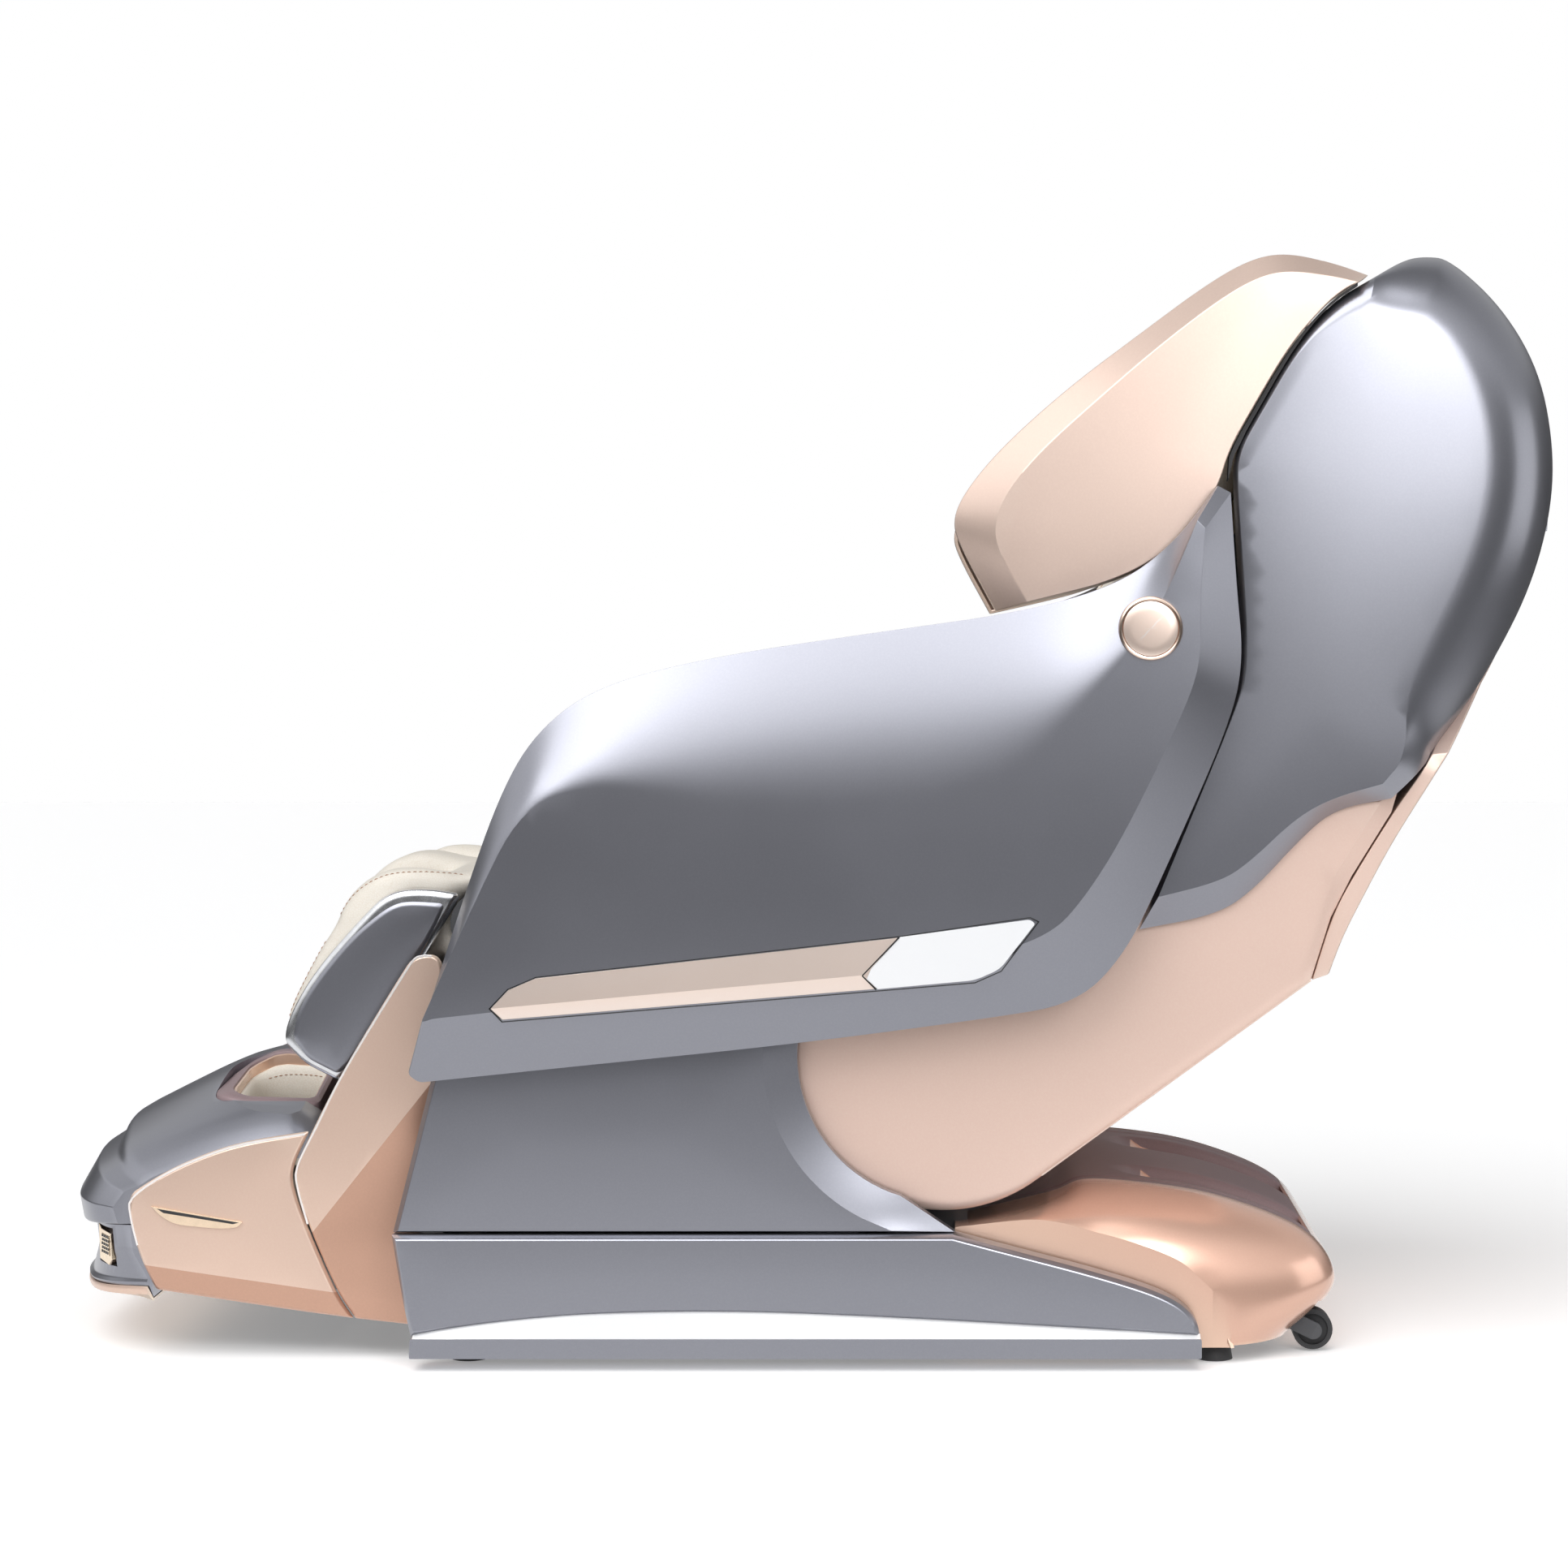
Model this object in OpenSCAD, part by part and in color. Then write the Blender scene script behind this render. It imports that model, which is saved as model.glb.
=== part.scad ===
// Massage chair, facing -Y, standing on z = 0, X across. All sizes in millimetres.

/* [Depths across the chair, measured from the middle] */
// Outer plane of the arm pods
pod_x = 385; // [375:1:400]
// Inner plane of the arm pods
pod_in_x = 331; // [329:1:336]
// Outer plane of the back shells and wings
shell_x = 325; // [320:1:326]
// Outer plane of the lower skirts
skirt_x = 330; // [328:1:334]
// Outer plane of the upper side covers
cover_x = 322; // [318:1:326]
// Inner plane of all base covers
cover_in_x = 296; // [294:1:300]
// Outer plane of the lower back shell
tub_x = 292; // [290:1:294]
// Outer plane of the leg and foot covers
leg_x = 268; // [266:1:272]
// Half width of the seat cushion
seat_half_w = 234; // [200:1:236]
// Half width of the wide part of the back pad
pad_half_w = 256; // [235:1:258]
// Half width of the head part of the back pad
head_half_w = 240; // [200:1:250]

/* [Walls and clearances] */
// Wall of the moulded shells
wall = 4; // [3:0.5:5]
// Sheet steel thickness of the side plates
plate = 6; // [4:0.5:7]
// Gap between pieces that sit next to each other
gap = 0.3; // [0.2:0.05:0.5]
// Radial clearance of pins in their bores
bore_gap = 0.08; // [0.05:0.01:0.1]
// Sideways gap between plates that turn past each other
plate_gap = 2; // [1.5:0.1:2.5]

/* [Pivots] */
// Radius of the main pivot stubs
pivot_r = 12; // [10:0.5:14]
// Radius of the round bosses on the side plates
boss_r = 28; // [24:1:30]
// Radius of the arm pivot pins
arm_pin_r = 11; // [8:0.5:13]
// Travel of the foot unit along its rails
foot_travel = 70; // [40:1:75]
// Travel of the massage carriage up the back
carriage_travel = 360; // [200:5:380]

/* [Wheels and feet] */
// Radius of the transport wheels
wheel_r = 21; // [18:0.5:22]
// Width of the transport wheels
wheel_w = 22; // [16:1:26]
// Height of the wheels above the floor
wheel_lift = 1.5; // [1:0.5:3]
// Radius of the levelling feet
foot_r = 19; // [14:1:22]
// Height of the levelling feet
foot_h = 18; // [15:1:20]

/* [Massage rollers] */
// Radius of a back massage roller
roller_r = 30; // [22:1:32]
// Width of a back massage roller
roller_w = 24; // [16:1:28]
// Radius of the foot rollers
sole_r = 16; // [12:1:17]

/* [Hidden] */
S = 99;                       // corner cut that means fully smooth
main_pivot = [148, 320];      // [y, z] of the seat and back pivot
leg_pivot = [-335, 450];      // [y, z] of the leg-rest hinge
arm_pivot = [357, 759];       // [y, z] of the arm pods' pins
back_foot = [95, 430];        // [y, z] where the back pad's face meets the seat
back_lean = 31.5;             // lean of the back from the vertical, degrees
foot_dir = [-0.92, -0.392];   // [y, z] direction in which the foot unit slides
belly_r = 163;                // radius of the lower back shell round the main pivot
cutout_r = 150;               // radius of the side cover's cut-out round the main pivot
back_plate_x = 232;           // inner plane of the back frame's plates
seat_plate_x = back_plate_x + plate + plate_gap;
upright_x = seat_plate_x + plate + plate_gap;
leg_plate_x = upright_x + plate + 1;
tub_wall = 6;
rail_x = 250;                 // inner side of the floor rails
front_y = -364;               // front end of the floor rails
fairing_x = 290;
saddle_x = 200;
inlet_x = 75;
inlet_y = 540;                // front face of the power inlet's plate
wheel_x = 215;
wheel_pin_r = 5;
switch_axle = [inlet_y + 6, 78];
switch_pin_r = 2.5;
drive_x = 218;                // half length of the leg rest's tubular motor
hinge_x = 236;                // half length of the leg rest's hinge tube
knee_r = 62;
rib_x = 200;
hood_x = 211.5;
roller_u = 62;                // depth of the massage rollers behind the pad's face
massage_x = 170;
arm_in_x = pad_half_w + 6;
button_x = -296;
button_ys = [-190, -222];
button_r = 9;
slide_r = 8;
foot_x = 262;
sole_axle = [-570, 112];

// ---- outlines, [y, z, corner cut, y and z on the inner edge of the bevel, seam share] ----
arm_outline = [[-396, 306, 0, -378, 362], [-343, 474, S, -332, 478],
    [-303, 590, S, -285, 585], [-266, 654, S, -225, 620], [-205, 700, S, -165, 630],
    [-90, 730, S, -70, 628], [79, 755, S, 82, 636], [230, 776, S, 215, 660],
    [328, 804, S, 300, 720], [385, 848, S, 372, 800], [427, 904, 0, 404, 868],
    [440, 897, 0, 412, 860], [446, 800, S, 407, 790], [453, 728, S, 408, 728],
    [440, 664, S, 392, 678], [374, 515, S, 330, 550], [334, 430, S, 290, 487],
    [284, 378, S, 256, 450], [193, 363, S, 186, 428], [-4, 337, S, -10, 402],
    [-200, 317, S, -200, 384], [-384, 298, 0, -366, 366]];
wing_outline = [[202, 777, 0, 234, 786], [164, 846, S, 204, 838], [157, 873, S, 200, 866],
    [174, 906, S, 212, 898], [214, 952, S, 246, 940], [281, 1011, S, 306, 994],
    [348, 1061, S, 366, 1046], [415, 1111, S, 424, 1091], [462, 1139, S, 466, 1117],
    [500, 1147, S, 500, 1126], [550, 1136, S, 548, 1120], [586, 1123, 0, 574, 1114],
    [564, 1109, S, 560, 1108], [543, 1094, S, 540, 1092], [505, 1051, S, 503, 1050],
    [464, 981, S, 463, 982], [441, 940, S, 440, 941], [430, 900, S, 429, 902],
    [398, 856, S, 397, 858], [360, 824, S, 359, 826], [315, 804, S, 314, 806],
    [264, 791, S, 266, 794]];
shell_outline = [[592, 1121, 0, 584, 1090, 1], [550, 1097, S, 552, 1078, 1],
    [512, 1054, S, 515, 1050, 1], [471, 983, S, 474, 981, 1], [447, 940, S, 450, 938, 1],
    [446, 900, S, 449, 900, 1], [457, 720, S, 462, 722, 1], [440, 660, S, 446, 672, 1],
    [350, 449, 0, 368, 484, 1], [430, 464, S, 432, 500, 1], [468, 490, S, 462, 520, 1],
    [512, 538, S, 510, 566, 1], [550, 573, S, 548, 586, 1], [610, 584, 0, 598, 600, 1],
    [642, 614, S, 622, 628, 1], [682, 655, S, 634, 690, 0], [725, 722, S, 664, 752, 0],
    [765, 800, S, 696, 818, 0], [787, 880, S, 716, 884, 0], [790, 950, S, 720, 944, 0],
    [775, 1030, S, 708, 1006, 0], [735, 1098, S, 682, 1056, 0], [680, 1148, S, 650, 1082, 0],
    [655, 1151, S, 630, 1088, 0], [630, 1145, S, 606, 1090, .3]];
shell_seam = [[576, 1112], [550, 1097], [512, 1054], [471, 983], [447, 940], [446, 912]];
wing_seam = [[570, 1112], [543, 1094], [505, 1051], [464, 981], [441, 940], [434, 912]];
hood_line = [[598, 1127], [630, 1145], [655, 1151], [680, 1146], [705, 1128], [740, 1089],
    [766, 1046], [781, 1002], [787, 959], [788, 916], [785, 862]];
rear_line = [[782, 861], [774, 817], [757, 774], [731, 717], [697, 657], [662, 601], [619, 532],
    [584, 467], [567, 432], [554, 398]];
rear_inner = [[530, 395], [551, 459], [573, 502], [616, 571], [648, 618], [680, 675], [715, 735],
    [745, 790], [764, 861]];
tub_top = [[528, 394], [549, 460], [571, 503], [612, 569], [620, 596], [560, 596], [500, 560],
    [440, 500], [340, 470], [240, 420], [-13, 420]];
cover_outline = [[-378, 295, 0, -372, 296], [-374, 340, 0, -369, 335],
    [-1, 340, 0, -38, 335]];
cover_foot = [[160, 139.3, 0, 96, 141.5], [-417, 139.3, 0, -411, 141.5]];
skirt_outline = [[-417, 138, 0], [-412, 107, S], [-404, 62, S], [-396, 36, 4], [-396, 13, 0],
    [412, 13, 0], [412, 34, 8], [407, 54, S], [380, 76, S], [312, 98, S], [212, 124, S],
    [158, 138.3, 0]];
fairing_side = [[160, 15, 0], [160, 140, 4], [206, 146, S], [262, 164, S], [303, 180, 40],
    [400, 166, S], [470, 147, S], [520, 125, S], [549, 84, S], [548, 62, 12], [505, 18, 3]];
fairing_plan = [[160, 290], [440, 290], [520, 272], [552, 220], [552, -220], [520, -272],
    [440, -290], [160, -290]];
link_outline = [[-526, 200, S], [-506, 242, S], [-476, 301, S], [-417, 398, S], [-402, 420, S],
    [-372, 420, 20], [-376, 330, S], [-398, 139, S], [-392, 33, 4], [-464, 41, 2], [-481, 66, S],
    [-510, 132, S], [-526, 178, S]];
calf_rim_outline = [[-544, 325, 10], [-540, 350, S], [-514, 397, S], [-463, 456, S],
    [-434, 484, S], [-395, 487, S], [-358, 481, 8], [-380, 442, S], [-466, 300, S],
    [-486, 284, 6], [-522, 303, 10]];
calf_outline = [[-556, 330, S], [-558, 348, S], [-540, 388, S], [-506, 451, S], [-480, 490, S],
    [-440, 512, S], [-395, 516, S], [-344, 508, 10], [-373, 443, S], [-462, 292, 10],
    [-490, 284, 8], [-530, 306, S]];
channel_floor = [[-520, 262], [-364, 518], [-430, 640], [-680, 420], [-660, 250]];
hood_outline = [[-786, 126.5, 6, 1, -.2], [-791, 158, 10, 1, 0], [-769, 197, 14, .86, .3],
    [-744, 213, 4, .75, .42], [-740, 228, 8, .84, .53], [-697, 250, S, .85, .6],
    [-640, 278, S, .69, .84], [-590, 294, S, .5, .98], [-556, 298, 8, .4, 1],
    [-520, 268, 20, .1, .5], [-500, 250, 4, 0, .3], [-500, 238, 2, 0, .25],
    [-560, 240, S, 0, .56], [-640, 222, S, .2, .5], [-696, 172, 8, .5, .2],
    [-712, 128, 6, .58, -.2]];
bumper_outline = [[-785, 54, 3, 1.42, -.18], [-787, 65, 3, 1.42, -.2], [-781, 71, 2, 1.36, -.18],
    [-770, 104, 4, 1, -.1], [-773, 126.2, 0, 1, -.2], [-684.4, 126.2, 0, 0, -.2],
    [-684.4, 110, 0, 0, 0], [-676.4, 84, 0, 0, 0], [-674, 62, 0, 0, 0]];
// Sections of the foot unit's nose from its middle to its side, as [x, push, drop].
nose_half = [[60, 0, 0], [120, 8, 8], [190, 22, 26], [235, 44, 46], [foot_x, 74, 62]];
nose = concat([for (i = [4:-1:0]) [-nose_half[i][0], nose_half[i][1], nose_half[i][2]]],
    nose_half);
trim_outline = [[-628, 165.8, 0], [-626, 268, 4], [-604, 288, 10], [-586, 297, S],
    [-557, 303, 8], [-520, 291, 6], [-513, 197, 0], [-560, 193, 0]];
foot_side_outline = [[-698, 171, 8], [-662, 194, S], [-620, 213, S], [-578, 226, S],
    [-512, 236, 3], [-529, 200, S], [-529, 178, S], [-512, 132, S], [-483, 66, S],
    [-466.5, 41, 2], [-520, 48, S], [-600, 60, S], [-672, 71, 4], [-690, 110, S], [-700, 150, S]];

// ---- helper functions ----
function lerp(a, b, t) = a + (b - a) * t;
function bezier(a, c, b, t) = lerp(lerp(a, c, t), lerp(c, b, t), t);
function cut_share(c, other, cut) = let (l = norm([other[0] - c[0], other[1] - c[1]]))
    min(cut, l / 2) / l;
// Rounds every corner of an outline by its cut length, with n segments a corner.
function rounded(p, n = 3) = let (m = len(p), q = [for (i = [0:m - 1]) let (
        c = p[i], a = p[(i + m - 1) % m], b = p[(i + 1) % m],
        start = lerp(c, a, cut_share(c, a, c[2])), stop = lerp(c, b, cut_share(c, b, c[2])))
        each (c[2] == 0 ? [c] : [for (k = [0:n]) bezier(start, c, stop, k / n)])])
    [for (i = [0:len(q) - 1]) let (e = q[i], f = q[(i + 1) % len(q)])
        if (norm([e[0] - f[0], e[1] - f[1]]) > 0.4) e];
function area(p) = let (m = len(p)) [for (i = [0:m - 1]) let (a = p[i], b = p[(i + 1) % m])
    a[0] * b[1] - a[1] * b[0]] * [for (i = [0:m - 1]) 0.5];
function reversed(p) = [for (i = [len(p) - 1:-1:0]) p[i]];
function left_of(a, b) = [a[1] - b[1], b[0] - a[0]] / norm([b[0] - a[0], b[1] - a[1]]);
function ccw(p) = area(p) > 0 ? p : reversed(p);
function flat(p) = [for (q = p) [q[0], q[1]]];
// Adds to each corner its bevel's inner point, its seam share and its mitred inward normal.
// Without an inner point of its own, a corner's bevel runs 1 mm along the normal.
function prepared(p) = let (q = ccw(p), m = len(q)) [for (i = [0:m - 1]) let (
    c = q[i], u = left_of(q[(i + m - 1) % m], c), v = left_of(c, q[(i + 1) % m]),
    k = (u + v) / max(1 + u * v, 0.5))
    concat([c[0], c[1], c[2]], len(c) > 3 ? [c[3], c[4]] : [c[0], c[1]] + k,
        len(c) > 5 ? c[5] : 0, k)];
// Points of an open line moved sideways by t, to the left of its direction.
function moved(p, t) = let (m = len(p)) [for (i = [0:m - 1]) let (
    a = p[max(i - 1, 0)], b = p[min(i + 1, m - 1)], d = [b[0] - a[0], b[1] - a[1]] / norm(b - a))
    [p[i][0] - d[1] * t, p[i][1] + d[0] * t]];
function arc(c, r, a0, a1, n) = [for (k = [0:n]) let (a = lerp(a0, a1, k / n))
    [c[0] + r * cos(a), c[1] + r * sin(a)]];
// Cuts a ring of [x, y, z] points into triangles, corner by corner, as seen along X.
function turn(a, b, c) = (b[1] - a[1]) * (c[2] - a[2]) - (b[2] - a[2]) * (c[1] - a[1]);
function blocked(p, r, a, b, c) = [for (i = r) if (i != a && i != b && i != c
    && turn(p[a], p[b], p[i]) > -.01 && turn(p[b], p[c], p[i]) > -.01
    && turn(p[c], p[a], p[i]) > -.01) i] != [];
function ear(p, r, k) = let (m = len(r), a = r[(k + m - 1) % m], b = r[k], c = r[(k + 1) % m])
    k == m - 1 || (turn(p[a], p[b], p[c]) > .01 && !blocked(p, r, a, b, c)) ? k : ear(p, r, k + 1);
function triangles(p, r) = len(r) < 4 ? [r] : let (m = len(r), k = ear(p, r, 0))
    concat([[r[(k + m - 1) % m], r[k], r[(k + 1) % m]]],
        triangles(p, [for (i = [0:m - 1]) if (i != k) r[i]]));

// ---- helper modules ----
// Extrudes a (y, z) shape across the chair from x0 to x1.
module side(x0, x1) { translate([x0, 0, 0]) rotate([90, 0, 90]) linear_extrude(x1 - x0) children(); }
module both() { children(); mirror([1, 0, 0]) children(); }
// A round bar along X at p = [y, z].
module xbar(p, r, x0, x1) { translate([x0, p[0], p[1]]) rotate([0, 90, 0])
    cylinder(r = r, h = x1 - x0, $fn = 48); }
// The back's own frame: z up the back, y to the rear, origin at back_foot.
module on_back() { translate([0, back_foot[0], back_foot[1]]) rotate([-back_lean, 0, 0]) children(); }
module box(lo, hi) { translate(lo) cube(hi - lo); }
// A flat bar from p to q in the (y, z) plane, r half wide, with round ends.
module bar(p, q, r) {
    a = atan2(q[1] - p[1], q[0] - p[0]);
    polygon(concat(arc(p, r, a + 90, a + 270, 16), arc(q, r, a - 90, a + 90, 16)));
}
module disc(p, r) { polygon([for (a = [0:10:350]) [p[0] + r * cos(a), p[1] + r * sin(a)]]); }
// A closed skin through rings of points, one ring after the other, each turning the same way.
module skin(rings) {
    n = len(rings[0]);
    last = len(rings) - 1;
    every = [for (i = [0:n - 1]) i];
    polyhedron([for (r = rings) each r], concat(triangles(rings[0], every),
        [for (k = [0:last - 1]) for (i = every) let (a = k * n + i, b = k * n + (i + 1) % n)
            each [[a, a + n, b + n], [a, b + n, b]]],
        [for (t = triangles(rings[last], every)) [t[2], t[1], t[0]] + last * n * [1, 1, 1]]),
        convexity = 8);
}
// A closed skin through rings of an outline. Each station is [x, bevel, inset, seam shift], where
// bevel 0 is the outline and 1 the bevel's inner edge.
module loft(outline, stations) {
    p = rounded(prepared(outline));
    skin([for (s = stations) [for (q = p) [s[0] + s[3] * q[5],
        lerp(q[0], q[3], s[1]) + q[6] * s[2], lerp(q[1], q[4], s[1]) + q[7] * s[2]]]]);
}
// A moulded dish: open at x_in, its face at x_out, with a bevel that is drop deep.
module dish(outline, x_in, x_out, bevel, drop) {
    loft(outline, [[x_out - wall, bevel, wall, 0], [x_out - wall - drop * .3, bevel * .6, wall, 0],
        [x_out - wall - drop, 0, wall, 0], [x_in, 0, wall, 0], [x_in, 0, 0, 0],
        [x_out - drop - 3, 0, 0, 0], [x_out - drop, bevel * .07, 0, 0],
        [x_out - drop * .3, bevel * .66, 0, 0], [x_out, bevel, 0, 0]]);
}
// A plate or pad with its outline in (y, z), solid from x0 to x1.
module slab(outline, x0, x1, n = 3) { side(x0, x1) polygon(flat(rounded(outline, n))); }
// A closed skin through sections of an outline. Each station is [x, push, drop]: a point moves
// back by push times its fourth entry and down by drop times its fifth.
module ruled(outline, stations) {
    p = ccw(rounded(outline, 2));
    skin([for (s = stations) [for (q = p) [s[0], q[0] + s[1] * q[3], q[1] - s[2] * q[4]]]]);
}
// World [y, z] of a point in the back's own frame.
function back_yz(u, w) = [back_foot[0] + u * cos(back_lean) + w * sin(back_lean),
    back_foot[1] - u * sin(back_lean) + w * cos(back_lean)];

// ---- base ----
wheel_axle = [536, wheel_r + wheel_lift];
module base_frame() color("#3b3c41") {
    both() {
        box([rail_x, front_y, 40], [rail_x + 30, 455, 80]);
        // Uprights that carry the seat and the back on two stubs.
        side(upright_x, upright_x + plate)
            polygon([[120, 40], [176, 40], [168, 320], [128, 320]]);
        xbar(main_pivot, boss_r, upright_x, upright_x + plate);
        xbar(main_pivot, pivot_r, back_plate_x, upright_x + 1);
        // Posts that hold the covers and the skirts.
        box([279, -330, 44], [cover_in_x - gap, -310, 200]);
        box([279, 60, 44], [cover_in_x - gap, 90, 165]);
        box([279, 200, 60], [fairing_x - wall - gap, 230, 75]);
        // Forks of the transport wheels.
        for (x = [wheel_x - 19, wheel_x + 13]) side(x, x + plate) bar([458, 60], wheel_axle, 9);
        xbar(wheel_axle, wheel_pin_r, wheel_x - 19, wheel_x + 19);
    }
    for (y = [-340, 128, 430]) box([-rail_x - 1, y, 40], [rail_x + 1, y + 40, 80]);
    box([-rail_x - 1, -301, 80], [rail_x + 1, -20, 84]);
}
module side_covers() color("#8d8e97") both()
    dish(concat(cover_outline, [for (a = [181.5:7.5:256.5]) [main_pivot[0] + cutout_r * cos(a),
        main_pivot[1] + cutout_r * sin(a), 0, main_pivot[0] + 185 * cos(a * .86 + 25.5),
        main_pivot[1] + 185 * sin(a * .86 + 25.5)]], cover_foot), cover_in_x, cover_x, 1, 9);
module skirts() color("#9a9ba3") both() dish(skirt_outline, cover_in_x, skirt_x, 10, 9);
module front_cover() color("#55565d") difference() {
    box([-cover_in_x + 1, front_y - gap - wall, 30], [cover_in_x - 1, front_y - gap, 332]);
    for (z = [70:26:148]) box([-150, front_y - 20, z], [150, front_y, z + 10]);
}
module fairing_solid(grow) intersection() {
    side(-fairing_x - grow, fairing_x + grow) offset(delta = grow)
        polygon(flat(rounded(fairing_side, 4)));
    linear_extrude(220) offset(delta = grow) polygon([for (q = fairing_plan) [q[1], q[0]]]);
}
module fairing_skin() difference() {
    fairing_solid(0);
    fairing_solid(-wall);
    translate([0, 0, -8]) fairing_solid(-wall);
    box([-fairing_x + wall, 155, 10], [fairing_x - wall, 170, 134]);
}
module saddle_cut(grow) box([-saddle_x - grow, 178 - grow, 100 - grow],
    [saddle_x + grow, 560, 200]);
module rear_fairing() color("#d9b8a5") difference() {
    fairing_skin();
    saddle_cut(gap);
    box([-inlet_x - gap, inlet_y - 20, 56 - gap], [inlet_x + gap, inlet_y + 30, 98 + gap]);
    both() {
        xbar(wheel_axle, wheel_r + 11, wheel_x - 23, wheel_x + 23);
        box([upright_x - plate_gap, 155, 100], [upright_x + plate + plate_gap, 178, 160]);
    }
}
module rear_saddle() color("#8f7f83") difference() {
    intersection() {
        fairing_skin();
        saddle_cut(0);
    }
    difference() {
        for (x = [-120:60:120]) box([x - 4, 240, 110], [x + 4, 520, 300]);
        fairing_solid(-1.5);
    }
}
module levelling_feet() color("#232326") both() for (y = [-345, 430]) translate([262, y, 0]) {
    cylinder(r1 = foot_r, r2 = foot_r - 3, h = foot_h, $fn = 40);
    cylinder(r = 7, h = 40, $fn = 24);
}
module air_pump() color("#56575c") {
    box([-190, -250, 84], [-60, -110, 140]);
    for (y = [-215, -145]) translate([-125, y, 140]) cylinder(r = 26, h = 18, $fn = 40);
    for (y = [-225:30:-135]) translate([-60, y, 112]) rotate([0, 90, 0])
        cylinder(r = 6, h = 16, $fn = 24);
}
module power_supply() color("#a9abb0") difference() {
    box([40, -250, 84], [200, -110, 136]);
    for (x = [60:16:180]) box([x, -200, 128], [x + 6, -140, 140]);
}
module power_inlet() color("#2b2b2f") {
    difference() {
        box([-inlet_x, inlet_y, 56], [inlet_x, inlet_y + 13, 98]);
        box([-58, inlet_y + 4, 64], [-26, inlet_y + 20, 90]);
        box([20, inlet_y - 10, 64], [48, inlet_y + 20, 92]);
        xbar(switch_axle, switch_pin_r + bore_gap, 15, 53);
    }
    for (x = [-51, -43, -35]) box([x, inlet_y + 3, 72], [x + 3, inlet_y + 11, 80]);
}
module power_switch() color("#1c1c1f") difference() {
    union() {
        xbar(switch_axle, 12, 21, 47);
        xbar(switch_axle, switch_pin_r, 17, 51);
    }
    translate([0, switch_axle[0] + 9, switch_axle[1]]) rotate([12, 0, 0])
        box([20, 0, 0], [48, 10, 20]);
}
module tilt_drive() color("#6c6e75") {
    xbar(main_pivot, 45, upright_x + plate + gap, 280);
    translate([267, main_pivot[0], 190]) cylinder(r = 12.4, h = 100, $fn = 32);
}
module wheel() difference() {
    union() {
        xbar(wheel_axle, wheel_r, wheel_x - wheel_w / 2, wheel_x + wheel_w / 2);
        xbar(wheel_axle, 9, wheel_x - 12, wheel_x + 12);
    }
    xbar(wheel_axle, wheel_pin_r + bore_gap, wheel_x - 20, wheel_x + 20);
    for (x = [wheel_x - 20, wheel_x + wheel_w / 2 - 3]) difference() {
        xbar(wheel_axle, wheel_r - 5, x, x + 12);
        xbar(wheel_axle, 9, x, x + 12);
    }
}
module wheel_left() color("#1d1d20") wheel();
module wheel_right() color("#1d1d20") mirror([1, 0, 0]) wheel();

// ---- seat ----
tube_rear = [85, 338];
tube_front = [-262, 350];
module seat_frame() color("#3b3c41") {
    difference() {
        both() {
            side(seat_plate_x, seat_plate_x + plate) {
                bar(main_pivot, tube_rear, boss_r);
                bar(tube_front, tube_rear, 20);
                bar(leg_pivot, tube_front, 25);
            }
            xbar(leg_pivot, pivot_r, drive_x, seat_plate_x + 1);
        }
        both() xbar(main_pivot, pivot_r + bore_gap, seat_plate_x - 1, seat_plate_x + plate + 1);
    }
    for (p = [tube_rear, tube_front]) xbar(p, 15, -seat_plate_x - 1, seat_plate_x + 1);
    box([-seat_plate_x - 1, 10, 345], [seat_plate_x + 1, 40, 365]);
}
module seat_pan() color("#4a4b50") difference() {
    box([2 - seat_half_w, -266, 365], [seat_half_w - 2, 74, 386]);
    box([6 - seat_half_w, -262, 369], [seat_half_w - 6, 70, 400]);
}
module seat_cushion() color("#f0ebe3") difference() {
    union() {
        box([gap + 6 - seat_half_w, gap - 262, 369], [seat_half_w - 6 - gap, 70 - gap, 390]);
        slab([[-300, 386.3, 0], [-314, 470, 0], [-304, 508, 10], [-285, 515, 30], [-120, 480, S],
            [60, 440, 40], [91, 437, 8], [82, 412, 10], [76, 386.3, 0]],
            -seat_half_w, seat_half_w);
    }
    xbar(leg_pivot, knee_r + 4, -300, 300);
}
module recline_drive() color("#6c6e75") difference() {
    union() {
        side(190, 226) bar(main_pivot, tube_rear, 26);
        translate([208, 112, 262]) cylinder(r = 16, h = 60, $fn = 32);
    }
    xbar(tube_rear, 15 + bore_gap, 180, 240);
}
module legrest_drive() color("#6c6e75") xbar(leg_pivot, 26, -drive_x, drive_x);

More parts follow.
